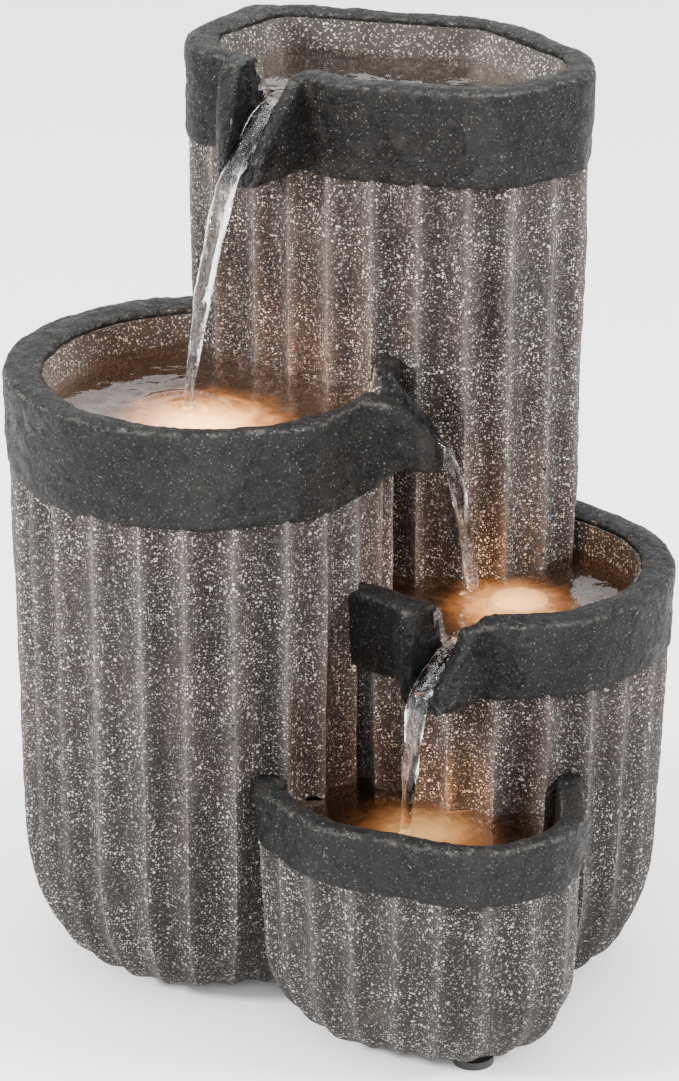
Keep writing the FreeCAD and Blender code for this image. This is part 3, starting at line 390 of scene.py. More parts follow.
def foot_levels(name):
    """(height, scale) pairs from the base up to the ledge."""
    rise, inset, draft = FOOT[name]
    levels = []
    steps = max(12, round(rise * 1.3 / ROW))
    for k in range(steps + 1):
        turn = math.pi / 2 * (1 - k / steps)
        factor = 1 - inset * (1 - math.cos(turn)) / REACH[name]
        levels.append((BASE + rise * (1 - math.sin(turn)), factor * (1 - draft)))
    knee = BASE + rise
    rows = round((LEDGE[name] + 2 - knee) / ROW)
    for k in range(1, rows + 1):
        share = k / rows
        levels.append((knee + (LEDGE[name] + 2 - knee) * share, 1 - draft * (1 - share)))
    return levels


def flute(share):
    """How far a flute is cut at a share of the way from one ridge to the next."""
    hollow = 1 - abs(2 * share - 1) ** 2
    return 0.68 * hollow + 0.32 * math.sin(math.pi * share) ** 2


def pot_outer(name, seed):
    """The fluted body of a pot, as one solid. Each flute differs a little from the next."""
    circles = grown(OUTLINES[name], -RIM_PROUD)

    def columns(total):
        return COLUMNS_PER_FLUTE * round(total / FLUTE_PITCH)

    marks = band(circles, columns)
    count = len(marks)
    cx, cy = AXES[name]
    rings = []
    rng = random.Random(seed)
    flutes = count // COLUMNS_PER_FLUTE
    depths = [FLUTE_DEPTH[name] * rng.uniform(0.8, 1.15) for _ in range(flutes + 1)]
    shifts = [rng.uniform(-1.2, 1.2) for _ in range(flutes)]
    for z, factor in foot_levels(name):
        ring = []
        for i in range(count):
            number = i / COLUMNS_PER_FLUTE
            which = int(number) % flutes
            share = number - int(number)
            here, out = marks[i]
            beside = marks[(i + 1) % count][0]
            along = (beside - here).normalized()
            drift = shifts[which] * (1 - share) + shifts[(which + 1) % flutes] * share
            place = here + along * drift - out * depths[which] * flute(share)
            x = cx + (place.x - cx) * factor
            y = cy + (place.y - cy) * factor
            spot = Vector((x, y, z))
            bulge = 0.55 * wander((x, y, z * 0.45), 26.0, seed) + 0.3 * wander(spot, 7.0, seed + 3)
            bulge += 0.16 * wander(spot, 2.6, seed + 5)
            ring.append((x + out.x * bulge, y + out.y * bulge, z))
        rings.append(ring)
    return grid_solid(f"{name}_outer", rings)


def pot_inner(name):
    """The hollow inside a pot."""
    if name == "front":
        circles = OUTLINES["front_bowl"]
    else:
        circles = grown(OUTLINES[name], -RIM_PROUD - WALL)
    rise, inset, _ = FOOT[name]
    turn = math.asin(1 - FLOOR / rise)
    narrow = 1 - (inset * (1 - math.cos(turn)) + 2) / REACH[name]
    marks = band(circles, 3.0)
    cx, cy = AXES[name]
    rings = []
    floor, knee = BASE + FLOOR, BASE + rise
    heights = [floor + (knee - floor) * k / 6 for k in range(7)] + [LEDGE[name] + 4]
    for z in heights:
        share = min(1.0, (z - floor) / (knee - floor))
        factor = narrow + (1 - narrow) * share
        rings.append([(cx + (p.x - cx) * factor, cy + (p.y - cy) * factor, z) for p, _ in marks])
    return grid_solid(f"{name}_inner", rings)


# ---------------------------------------------------------------- rims, chutes and basins


def opening(name):
    """The circles of a basin's mouth."""
    if name == "right":
        return grown(OUTLINES[name], -RIGHT_RIM_WIDTH)
    return OUTLINES[f"{name}_bowl"]


def nearest_out(marks, origin, direction):
    """Where a level ray from the origin leaves a band given as marks."""
    best = None
    for k, (p, _) in enumerate(marks):
        q = marks[(k + 1) % len(marks)][0]
        edge = q - p
        across = direction.x * edge.y - direction.y * edge.x
        if abs(across) < 1e-9:
            continue
        gap = p - origin
        far = (gap.x * edge.y - gap.y * edge.x) / across
        share = (gap.x * direction.y - gap.y * direction.x) / across
        if far > 0 and -1e-6 <= share <= 1 + 1e-6 and (best is None or far > best):
            best = far
    return origin + direction * best


def rim_shape(name):
    """The plain band: tapered outside, eased top edges, and a short lip down inside."""
    outer = band(OUTLINES[name], 2.2)
    inner = band(opening(name), 1.5)
    low, high = LEDGE[name], TOP[name]
    middle = Vector(AXES[name])
    lip = FRONT_RIM_LIP if name == "front" else RIM_LIP
    stations = []
    for p, out in outer:
        toward = (p - middle).normalized()
        q = nearest_out(inner, middle, toward)
        section = []
        for inset, z in ((6.0, low), (2.2, low), (1.0, low + 1.4), (0.4, (low + high) / 2)):
            section.append((p - out * inset, z))
        for turn in (0, 30, 60):
            a = math.radians(turn)
            section.append((p - out * 2.6 * (1 - math.cos(a)), high - 2.6 + 2.5 * math.sin(a)))
        section.append((p.lerp(q, 0.4), high + 0.2))
        section.append((p.lerp(q, 0.7), high - 0.1))
        for turn in (60, 30, 0):
            a = math.radians(turn)
            section.append((q + toward * 2.0 * (1 - math.cos(a)), high - 2.0 + 1.8 * math.sin(a)))
        section.append((q, high - lip))
        section.append((q + toward * 3.5, high - lip - 1.0))
        stations.append([(spot.x, spot.y, z) for spot, z in section])
    return torus_solid(f"{name}_band", stations)


def chute_frame(name):
    """A chute's tip, its floor's height there, its heading and the way to its left."""
    x, y, floor, degrees = CHUTES[name]
    turn = math.radians(degrees)
    ahead = Vector((math.cos(turn), math.sin(turn)))
    return Vector((x, y)), floor, ahead, Vector((-ahead.y, ahead.x))


def lofted(name, sections):
    """A closed solid through upright sections: (centre, side, [(across, z), ...])."""
    rings = []
    for centre, side, corners in sections:
        rings.append([(*(centre + side * s), z) for s, z in corners])
    return face_outward(grid_solid(name, rings))


CHUTE_REACH = 30.0

# Each chute's half widths to its right and left, at distances back from its tip.
SPOUT = {
    "tower": [(0, 9.5, 9.5), (14, 20.6, 15.8), (30, 25, 18)],
    "left": [(0, 7.5, 7), (4.5, 12.5, 8.4), (9.5, 18.7, 9.8), (17, 20.8, 12), (30, 23, 17)],
    "right": [(0, 9, 9), (6.5, 15, 13.5), (10, 20, 15), (30, 22, 16)],
}
CHANNEL = {
    "tower": [(-6, 4.8, 4.5), (0, 5.2, 4.8), (14, 9.5, 9.5), (36, 13, 12)],
    "left": [(-6, 4, 4), (0, 4.4, 4.2), (10, 10, 5.8), (36, 12, 9)],
    "right": [(-6, 4.6, 4.4), (0, 5, 4.6), (8, 8.5, 7.8), (36, 9.5, 9)],
}
# Where the lips leave the rim's level, back from the tip; how far they stand above the floor at
# the tip; and how slowly they start to fall.
LIP_DROP = {"tower": (17.0, 7.0, 1.2), "left": (25.0, 4.5, 1.7), "right": (10.0, 7.0, 0.9)}
UNDER_ARCH = {"tower": 0.0, "left": 7.0, "right": 0.0}


def widths(table, back):
    """The half widths at a distance back from the tip, eased between the table's rows."""
    for (d0, a0, b0), (d1, a1, b1) in zip(table, table[1:]):
        if back <= d1:
            share = max(0.0, (back - d0) / (d1 - d0))
            return a0 + (a1 - a0) * share, b0 + (b1 - b0) * share
    return table[-1][1:]


def chute_shape(name):
    """The spout's outside: lips level with the rim that fall away to a blunt tip."""
    tip, floor, ahead, side = chute_frame(name)
    start, lip, ease = LIP_DROP[name]
    sections = []
    steps = 20
    for k in range(steps + 1):
        share = k / steps
        back = CHUTE_REACH * (1 - share)
        centre = tip - ahead * back
        right, left = widths(SPOUT[name], back)
        drop = max(0.0, 1 - back / start)
        top = TOP[name] - 0.6 - (TOP[name] - floor - lip) * drop ** ease
        low = LEDGE[name] + 1.5 + (floor - 4.5 - LEDGE[name] - 1.5) * share ** 2
        low += UNDER_ARCH[name] * math.sin(math.pi * share) ** 2
        edge = min(2.4, (top - low) / 3)
        corners = [
            (-right + edge, low), (0, low - 0.8), (left - edge, low), (left, low + edge),
            (left, top - edge), (left - edge * 0.3, top - edge * 0.3), (left - edge, top),
            (-right + edge, top), (-right + edge * 0.3, top - edge * 0.3), (-right, top - edge),
            (-right, low + edge),
        ]
        sections.append((centre, side, corners))
    return lofted(f"{name}_chute", sections)


def channel_shape(name):
    """The round-bottomed way for the water, from inside the basin past the tip."""
    tip, floor, ahead, side = chute_frame(name)
    brink = WATER[name] - 3.5
    sections = []
    steps = 20
    for k in range(steps + 4):
        back = CHUTE_REACH * 1.15 * (1 - k / steps)
        share = min(1.0, k / steps)
        right, left = widths(CHANNEL[name], back)
        bottom = brink + (floor - brink) * share ** 1.6
        corners = []
        for turn in range(180, 361, 20):
            a = math.radians(turn)
            half = right if turn < 270 else left
            depth = (right + left) / 2 * 0.7
            corners.append((half * math.cos(a), bottom + depth * (1 + math.sin(a))))
        corners += [(left + 1.6, TOP[name] + 4), (-right - 1.6, TOP[name] + 4)]
        sections.append((tip - ahead * back, side, corners))
    return lofted(f"{name}_channel", sections)


def chute_distance(name, place):
    """How far a place is from the channel's line, in millimetres."""
    tip, _, ahead, _ = chute_frame(name)
    gap = Vector((place.x, place.y)) - tip
    along = max(-CHUTE_REACH, min(4.0, gap.dot(ahead)))
    return (gap - ahead * along).length


def basin_shape(name):
    """The bowl inside a rim: wall and floor in one skin."""
    rings = []
    circles = opening(name)
    low, high = LEDGE[name] + 0.5, TOP[name] - RIM_LIP
    profile = [
        (3.2, low), (3.2, high), (-0.9, high + 0.5), (-1.3, high - 1.5), (-2.2, high - 9),
        (-3.6, low + CUP_FLOOR + 7), (-5.4, low + CUP_FLOOR + 2), (-9.0, low + CUP_FLOOR),
    ]
    for grow, z in profile:
        marks = band(grown(circles, grow), lambda total: 260)
        rings.append([(p.x, p.y, z) for p, _ in marks])
    return grid_solid(f"{name}_cup", rings)


# ---------------------------------------------------------------- materials


def rgb(value):
    """A colour with full opacity."""
    return (*value, 1.0)


class Graph:
    """A small helper to write a node material from top to bottom."""

    def __init__(self, name):
        self.material = bpy.data.materials.new(name)
        self.material.use_nodes = True
        self.nodes = self.material.node_tree.nodes
        self.links = self.material.node_tree.links
        self.shader = self.nodes["Principled BSDF"]

    def node(self, kind, **inputs):
        made = self.nodes.new(kind)
        for key, value in inputs.items():
            self.feed(made.inputs[key.replace("_", " ")], value)
        return made

    def feed(self, socket, value):
        if isinstance(value, bpy.types.NodeSocket):
            self.links.new(value, socket)
        elif isinstance(value, tuple) and len(value) == 3 and socket.type == "RGBA":
            socket.default_value = rgb(value)
        else:
            socket.default_value = value

    def place(self):
        return self.node("ShaderNodeTexCoord").outputs["Object"]

    def clouds(self, scale, detail=4.0, rough=0.6, where=None, distort=0.0):
        made = self.node("ShaderNodeTexNoise", Scale=scale, Detail=detail, Roughness=rough)
        made.inputs["Distortion"].default_value = distort
        self.feed(made.inputs["Vector"], where or self.place())
        return made.outputs["Fac"]

    def math(self, operation, a, b=0.0, clamp=False):
        made = self.nodes.new("ShaderNodeMath")
        made.operation = operation
        made.use_clamp = clamp
        self.feed(made.inputs[0], a)
        self.feed(made.inputs[1], b)
        return made.outputs[0]

    def ramp(self, value, low, high, out_low=0.0, out_high=1.0):
        made = self.nodes.new("ShaderNodeMapRange")
        made.interpolation_type = "SMOOTHSTEP"
        for key, number in zip(("Value", "From Min", "From Max", "To Min", "To Max"),
                               (value, low, high, out_low, out_high)):
            self.feed(made.inputs[key], number)
        return made.outputs["Result"]

    def mix(self, share, first, second):
        made = self.nodes.new("ShaderNodeMix")
        made.data_type = "RGBA"
        self.feed(made.inputs["Factor"], share)
        self.feed(made.inputs["A"], first)
        self.feed(made.inputs["B"], second)
        return made.outputs["Result"]

    def attribute(self, name):
        made = self.nodes.new("ShaderNodeAttribute")
        made.attribute_name = name
        return made.outputs["Fac"]

    def grains(self, cell, share, smallest, largest):
        """Scattered flecks: one in some cells of a cell size in mm, with soft edges."""
        made = self.node("ShaderNodeTexVoronoi", Scale=1 / (cell * MM))
        self.feed(made.inputs["Vector"], self.place())
        parts = self.node("ShaderNodeSeparateColor", Color=made.outputs["Color"])
        there = self.math("LESS_THAN", parts.outputs[0], share)
        size = self.ramp(parts.outputs[1], 0.0, 1.0, smallest, largest)
        inside = self.math("SUBTRACT", size, made.outputs["Distance"])
        edge = self.math("MULTIPLY", inside, 9.0, clamp=True)
        return self.math("MULTIPLY", edge, there)

    def bump(self, height, distance, strength=1.0, normal=None):
        made = self.node("ShaderNodeBump", Strength=strength, Distance=distance * MM, Height=height)
        if normal:
            self.feed(made.inputs["Normal"], normal)
        return made.outputs["Normal"]

    def set(self, **values):
        for key, value in values.items():
            self.feed(self.shader.inputs[key.replace("_", " ")], value)
        return self.material


def fluted_stone():
    """Cast stone: grey-brown with grey-green streaks, pale grains thickest on the ridges, and the
    ridges painted lighter than the flutes as painted shade.
    """
    g = Graph("fluted_stone")
    ridge = g.attribute("ridge")
    damp = g.attribute("damp")
    broad = g.clouds(28.0, 5.0, 0.62)
    streak_place = g.node("ShaderNodeMapping", Vector=g.place(), Scale=(1.0, 1.0, 0.22))
    streaks = g.clouds(120.0, 6.0, 0.7, streak_place.outputs[0])
    base = g.mix(g.ramp(broad, 0.35, 0.65), (0.014, 0.0092, 0.0080), (0.034, 0.0245, 0.0215))
    base = g.mix(g.ramp(streaks, 0.48, 0.7, 0.0, 0.6), base, (0.056, 0.053, 0.045))
    fine = g.clouds(1100.0, 3.0, 0.75)
    base = g.mix(g.ramp(fine, 0.42, 0.68, 0.0, 0.85), base, (0.0025, 0.002, 0.002))
    grit = g.clouds(650.0, 5.0, 0.8)
    base = g.mix(g.ramp(grit, 0.56, 0.68, 0.0, 0.7), base, (0.19, 0.165, 0.152))
    # Painted shade of the flutes: the ridges painted lighter than the hollows between them.
    base = g.mix(g.math("MULTIPLY", ridge, 0.38), base, (0.17, 0.148, 0.136))
    patch = g.ramp(g.clouds(55.0, 4.0, 0.65), 0.36, 0.62, 0.3, 1.0)
    # Painted shade low down: towards the floor the flecks thin out and the stone is painted darker.
    height = g.node("ShaderNodeSeparateXYZ", Vector=g.place()).outputs[2]
    patch = g.math("MULTIPLY", patch, g.ramp(height, 0.02, 0.22, 0.72, 1.0))
    base = g.mix(g.ramp(height, 0.0, 0.16, 0.65, 0.0), base, (0.006, 0.005, 0.0045))
    many = g.math("MULTIPLY", patch, g.math("ADD", g.math("MULTIPLY", ridge, 0.5), 0.8))
    dust = g.grains(0.45, 0.30, 0.2, 0.55)
    small = g.grains(0.85, 0.30, 0.18, 0.52)
    large = g.grains(1.6, 0.18, 0.12, 0.43)
    flecks = g.math("MAXIMUM", g.math("MAXIMUM", small, dust), large)
    flecks = g.math("MULTIPLY", flecks, many, clamp=True)
    base = g.mix(g.math("MULTIPLY", flecks, 0.95), base, (0.78, 0.75, 0.71))
    # Pits: real pinholes, painted near-black as the shade inside them.
    pits = g.grains(2.6, 0.10, 0.08, 0.28)
    base = g.mix(g.math("MULTIPLY", pits, 0.9), base, (0.012, 0.010, 0.010))
    base = g.mix(g.math("MULTIPLY", damp, 0.5), base, (0.03, 0.022, 0.017))
    rough = g.math("SUBTRACT", g.ramp(fine, 0.2, 0.8, 0.5, 0.78), g.math("MULTIPLY", damp, 0.35))
    relief = g.math("ADD", g.math("MULTIPLY", fine, -0.6), g.math("MULTIPLY", flecks, 0.45))
    relief = g.math("ADD", relief, g.math("MULTIPLY", g.clouds(300.0, 5.0, 0.7), 1.3))
    relief = g.math("SUBTRACT", relief, g.math("MULTIPLY", pits, 1.2))
    return g.set(Base_Color=base, Roughness=rough, Normal=g.bump(relief, 1.0, 1.3),
                 Specular_IOR_Level=STONE_SHINE)


def rim_stone():
    """The bands: charcoal wash over the same stone, with a painted highlight along their top edges,
    glossy where wet.
    """
    g = Graph("rim_stone")
    wet = g.attribute("wet")
    edge = g.attribute("edge")
    broad = g.clouds(45.0, 5.0, 0.65)
    base = g.mix(g.ramp(broad, 0.32, 0.68), (0.0015, 0.0015, 0.0015), (0.0065, 0.0063, 0.0061))
    fine = g.clouds(900.0, 4.0, 0.75)
    base = g.mix(g.ramp(fine, 0.50, 0.64, 0.0, 0.8), base, (0.050, 0.048, 0.046))
    smear = g.clouds(170.0, 7.0, 0.75, distort=0.8)
    base = g.mix(g.ramp(smear, 0.53, 0.66, 0.0, 0.75), base, (0.036, 0.029, 0.023))
    base = g.mix(g.ramp(smear, 0.46, 0.34, 0.0, 0.8), base, (0.0012, 0.0012, 0.0012))
    # Painted highlight: the rims' rounded top edges painted lighter, and the flecks on them
    # brighter.
    edge_highlight = g.math("MULTIPLY", edge, g.ramp(g.clouds(320.0, 6.0, 0.75), 0.42, 0.6))
    base = g.mix(g.math("MULTIPLY", edge_highlight, 0.9), base, (0.24, 0.225, 0.205))
    flecks = g.math("MAXIMUM", g.grains(0.6, 0.14, 0.1, 0.5), g.grains(1.3, 0.06, 0.06, 0.36))
    bright = g.math("ADD", g.math("MULTIPLY", edge, 0.6), 0.4)
    base = g.mix(g.math("MULTIPLY", flecks, bright), base, (0.6, 0.59, 0.56))
    # Pits: real pinholes, painted near-black as the shade inside them.
    pits = g.grains(3.4, 0.16, 0.06, 0.28)
    base = g.mix(g.math("MULTIPLY", pits, 0.85), base, (0.008, 0.008, 0.008))
    base = g.mix(g.math("MULTIPLY", wet, 0.8), base, (0.008, 0.008, 0.009))
    dry = g.ramp(smear, 0.35, 0.65, 0.34, 0.66)
    rough = g.math("SUBTRACT", dry, g.math("MULTIPLY", wet, 0.5), clamp=True)
    relief = g.math("ADD", g.math("MULTIPLY", fine, 0.9), g.math("MULTIPLY", smear, 3.2))
    relief = g.math("SUBTRACT", relief, g.math("MULTIPLY", pits, 1.2))
    return g.set(Base_Color=base, Roughness=rough, Normal=g.bump(relief, 1.0, 2.2),
                 Specular_IOR_Level=STONE_SHINE)


def basin_stone():
    """Inside the bowls: brown, speckled, darker and shinier near and under the water."""
    g = Graph("basin_stone")
    wet = g.attribute("wet")
    base = g.mix(g.ramp(g.clouds(60.0, 5.0, 0.65), 0.35, 0.65), (0.018, 0.013, 0.010),
                 (0.040, 0.030, 0.023))
    fine = g.clouds(800.0, 3.0, 0.7)
    base = g.mix(g.ramp(fine, 0.4, 0.7, 0.0, 0.6), base, (0.022, 0.017, 0.014))
    flecks = g.math("MAXIMUM", g.grains(0.6, 0.42, 0.12, 0.55), g.grains(1.3, 0.26, 0.1, 0.45))
    flecks = g.math("MULTIPLY", flecks, g.math("SUBTRACT", 1.0, g.math("MULTIPLY", wet, 0.5)))
    base = g.mix(g.math("MULTIPLY", flecks, 0.8), base, (0.58, 0.54, 0.48))
    base = g.mix(g.math("MULTIPLY", wet, 0.4), base, (0.03, 0.023, 0.018))
    rough = g.math("SUBTRACT", g.ramp(fine, 0.2, 0.8, 0.55, 0.8), g.math("MULTIPLY", wet, 0.38))
    relief = g.math("ADD", g.math("MULTIPLY", fine, 0.5), g.clouds(230.0, 5.0, 0.65))
    return g.set(Base_Color=base, Roughness=rough, Normal=g.bump(relief, 0.8, 0.7))


def pool_water(name, glow, strength, spread):
    """Clear water over its basin, with a warm haze above the lamp that lights it."""
    g = Graph(name)
    x, y, z = glow
    gap = g.node("ShaderNodeVectorMath", Vector=g.place())
    gap.operation = "DISTANCE"
    gap.inputs[1].default_value = (x * MM, y * MM, z * MM)
    far = gap.outputs["Value"]
    haze = g.clouds(70.0, 4.0, 0.6, distort=1.2)
    edge = g.math("ADD", far, g.math("MULTIPLY", g.math("SUBTRACT", haze, 0.5), spread * MM * 0.5))
    near = g.ramp(edge, spread * MM, spread * MM * 0.05)
    light = g.math("MULTIPLY", g.math("POWER", near, 2.2), strength)
    light = g.math("ADD", light, 0.003 * strength)
    tint = g.mix(g.math("POWER", near, 1.5), (1.0, 0.30, 0.06), (1.0, 0.52, 0.18))
    relief = g.clouds(160.0, 3.0, 0.5, distort=0.6)
    return g.set(Base_Color=(0.52, 0.45, 0.38), Roughness=0.05, Transmission_Weight=1.0,
                 IOR=WATER_IOR, Specular_IOR_Level=0.02, Emission_Color=tint,
                 Emission_Strength=light, Normal=g.bump(relief, 1.2, 0.2))


def stream_water():
    """Falling water: clear, with thin white strands that glow, painted highlights for the glints
    and trapped air in the fall.
    """
    g = Graph("stream_water")
    long_place = g.node("ShaderNodeMapping", Vector=g.place(), Scale=(1.0, 1.0, 0.16))
    strands = g.ramp(g.clouds(520.0, 4.0, 0.6, long_place.outputs[0]), 0.56, 0.72)
    # The strands glow: painted highlight on the falling water.
    light = g.math("MULTIPLY", strands, 0.35)
    return g.set(Base_Color=(0.97, 0.98, 0.99), Roughness=0.02, Transmission_Weight=1.0,
                 IOR=WATER_IOR, Emission_Color=(1.0, 0.97, 0.93), Emission_Strength=light,
                 Normal=g.bump(strands, 0.6, 0.5))


def moulded(name, colour, rough, relief=0.12, metal=0.0):
    """Moulded plastic, rubber or metal: faint mottling and a fine tooth."""
    g = Graph(name)
    fine = g.clouds(1400.0, 3.0, 0.6)
    broad = g.clouds(90.0, 4.0, 0.6)
    darker = tuple(c * 0.72 for c in colour)
    lighter = tuple(min(1.0, c * 1.25 + 0.004) for c in colour)
    base = g.mix(g.ramp(broad, 0.3, 0.7), darker, lighter)
    base = g.mix(g.ramp(fine, 0.45, 0.75, 0.0, 0.3), base, darker)
    return g.set(Base_Color=base, Metallic=metal, Normal=g.bump(fine, relief, 0.4),
                 Roughness=g.ramp(fine, 0.2, 0.8, rough - 0.08, rough + 0.08))


def lamp_lens():
    """A frosted lens, only dimly lit: the pool above it carries the glow."""
    g = Graph("lamp_lens")
    fine = g.clouds(500.0, 3.0, 0.6)
    return g.set(Base_Color=(0.30, 0.17, 0.07), Transmission_Weight=0.4,
                 Roughness=g.ramp(fine, 0.2, 0.8, 0.25, 0.45),
                 Emission_Color=g.mix(fine, (1.0, 0.62, 0.30), (1.0, 0.78, 0.5)),
                 Emission_Strength=g.ramp(fine, 0.3, 0.7, 0.3, 0.5))


STONE = fluted_stone()
RIM = rim_stone()
BASIN = basin_stone()
SLOT_LOOKS = {
    "rubber": moulded("black_rubber", (0.018, 0.018, 0.018), 0.75, 0.2),
    "pump_plastic": moulded("pump_plastic", (0.012, 0.012, 0.014), 0.38),
    "dial_plastic": moulded("dial_plastic", (0.05, 0.055, 0.06), 0.35),
    "magnet": moulded("ferrite", (0.05, 0.05, 0.055), 0.5, 0.15, 0.6),
    "ceramic_shaft": moulded("ceramic", (0.78, 0.76, 0.70), 0.2, 0.05),
    "hose_vinyl": moulded("vinyl_hose", (0.42, 0.46, 0.45), 0.22),
    "lamp_plastic": moulded("lamp_plastic", (0.02, 0.02, 0.02), 0.42),
    "lamp_board": moulded("lamp_board", (0.70, 0.66, 0.54), 0.5),
    "lens": lamp_lens(),
    "lead_jacket": moulded("lead_jacket", (0.014, 0.014, 0.014), 0.5),
    "potting": moulded("potting_resin", (0.012, 0.012, 0.013), 0.45, 0.3),
    "door_plastic": moulded("door_plastic", (0.045, 0.038, 0.034), 0.68, 0.35),
}


def dress(thing, material, slot, *nodes):
    """Give a piece its look and its body, and hide the CAD nodes that it stands for. The slot is
    not used.
    """
    thing.data.materials.clear()
    thing.data.materials.append(material)
    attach(thing, "root")
    if nodes:
        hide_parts(*nodes)
    return thing


# ---------------------------------------------------------------- make the stone pieces

outer = {name: pot_outer(name, seed) for seed, name in enumerate(POTS, 3)}
inner = {name: pot_inner(name) for name in POTS}


def back_cut(shell, name, low, high):
    """Cut a box square to the tower's back out of its wall."""
    tool = box_solid(name, low, high, BACK_TURN, BACK)
    combine(shell, tool)
    remove(tool)


def ridge_amount(name):
    """How near a place is to a ridge of the flutes: 1 on it, 0 in the flute's bottom."""
    source = outer[name]
    circles = grown(OUTLINES[name], -RIM_PROUD)
    marks = band(circles, lambda total: COLUMNS_PER_FLUTE * round(total / FLUTE_PITCH))
    count = len(marks)
    tree = kdtree.KDTree(len(source.data.vertices))
    for k, v in enumerate(source.data.vertices):
        tree.insert(v.co, k)
    tree.balance()

    def amount(place, _):
        _, index, distance = tree.find(place * MM)
        if distance > 2.5 * MM or index >= count * len(foot_levels(name)):
            return 0.0
        share = (index % count / COLUMNS_PER_FLUTE) % 1.0
        return abs(2 * share - 1) ** 5

    return amount


def damp_amount(place, _):
    """Darker, shinier stone below the chutes and round the water in the front bowl."""
    wet = 0.0
    for name in CHUTES:
        tip, floor, _, _ = chute_frame(name)
        gap = (Vector((place.x, place.y)) - tip).length
        below = floor - place.z
        if -12 < below < DAMP_FALL:
            share = 1 - max(0.0, below) / DAMP_FALL
            wet = max(wet, max(0.0, 1 - gap / DAMP_REACH) * share)
    bowl = WATER["front"] + 6 - place.z
    x, y, radius, lowest = FRONT_DAMP
    if bowl > 0 and math.hypot(place.x - x, place.y - y) < radius and place.z > lowest:
        wet = max(wet, min(1.0, bowl / 6))
    return wet


def column(name):
    """A pot's casting: hollow, and trimmed where it meets the pots beside it."""
    shell = copy_of(outer[name], f"{name}_stone")
    combine(shell, inner[name])
    for other in BEHIND[name]:
        combine(shell, outer[other])
    for side, corners in WINDOWS.items():
        if name in ("tower", side):
            window = box_solid(f"{side}_window", *corners)
            combine(shell, window)
            remove(window)
    if name == "tower":
        back_cut(shell, "recess", (-29.3, -12, 115.7), (29.3, 30, 194.3))
        back_cut(shell, "doorway", (-25.3, -50, 119.7), (25.3, 30, 190.3))
        back_cut(shell, "grommet_face", (-11, -12, 92), (11, 30, 114))
    if name == "left":
        hole = box_solid("port_hole", (-14.6, -70, 79.4), (-5.4, -30, 88.6))
        soft = hole.modifiers.new("round", "SUBSURF")
        soft.levels = 3
        apply_all(hole)
        combine(shell, hole)
        remove(hole)
    paint(shell, "ridge", ridge_amount(name))
    paint(shell, "damp", damp_amount)
    shade_smooth(shell, 48)
    node = "front_bowl" if name == "front" else f"{name}_column"
    return dress(shell, STONE, "stone", node)


def wetness(name, reach=13.0):
    """Glossy black round the channel and its lips."""
    if name not in CHUTES:
        return lambda place, _: 0.0

    def amount(place, _):
        far = chute_distance(name, place)
        return max(0.0, min(1.0, (reach + 3.0 * wander(place, 9.0, 2) - far) / 5.0))

    return amount


def edge_amount(name):
    """Where the painted highlight lies: the rim's outer and inner top edges."""
    top = TOP[name]

    def amount(place, normal):
        tilt = 1 - abs(abs(normal.z) - 0.65) / 0.3
        near = 1 - abs(top - 1.5 - place.z) / 4.0
        return max(0.0, min(1.0, tilt)) * max(0.0, min(1.0, near))

    return amount


def rim(name):
    """A rim band with its chute, as one softened casting."""
    thing = rim_shape(name)
    if name in CHUTES:
        spout = chute_shape(name)
        hollow = room_shape(name)
        combine(spout, hollow)
        combine(thing, spout, "UNION")
        channel = channel_shape(name)
        combine(thing, channel)
        remove(spout, hollow, channel)
    remesh(thing, RIM_VOXEL, RIM_SOFTENING)
    roughen(thing, ((24.0, 0.7), (8.0, 0.4), (2.8, 0.24)), 11 + len(name))
    for other in BEHIND[name]:
        combine(thing, outer[other])
    thing.name = f"{name}_rim_band"
    paint(thing, "wet", wetness(name))
    paint(thing, "edge", edge_amount(name))
    shade_smooth(thing)
    return dress(thing, RIM, "rim_stone", f"{name}_rim")


def room_shape(name):
    """The room inside the basin, which the chute's root must not fill."""
    marks = [p for p, _ in band(opening(name), 3.0)]
    return grid_solid(f"{name}_room", [[(p.x, p.y, z) for p in marks]
                                       for z in (LEDGE[name] - 5, TOP[name] + 5)])


def basin(name):
    """A basin's wall and floor, wet up to a little above the water."""
    thing = basin_shape(name)
    open_channel(thing, name)
    for other in BEHIND[name]:
        combine(thing, outer[other])
    thing.name = f"{name}_pool_wall"
    line = WATER[name] + 1.5

    def wet(place, _):
        return max(0.0, min(1.0, (line + 1.5 * wander(place, 12.0, 4) - place.z) / 2.5))

    paint(thing, "wet", wet)
    shade_smooth(thing, 40)
    return dress(thing, BASIN, "basin_stone", f"{name}_basin")


def open_channel(thing, name):
    """Cut the chute's channel through the wall of a basin that has one."""
    if name in CHUTES:
        channel = channel_shape(name)
        combine(thing, channel)
        remove(channel)


for name in POTS:
    column(name)
for name in POTS:
    rim(name)
for name in ("tower", "left", "right"):
    basin(name)

# ---------------------------------------------------------------- water


def ripple(name, x, y):
    """The pool's height at a place: rings round where a stream lands, and slow swell."""
    height = 0.35 * wander((x, y, 0.0), 14.0, 20 + len(name))
    for source in LANDINGS:
        lx, ly, target = LANDINGS[source]
        if target == name:
            far = math.hypot(x - lx, y - ly)
            height += 1.5 * math.cos(far * 1.05) * math.exp(-far / 9.0)
            height += 0.35 * math.cos(far * 0.7) * math.exp(-far / 24.0)
    return height


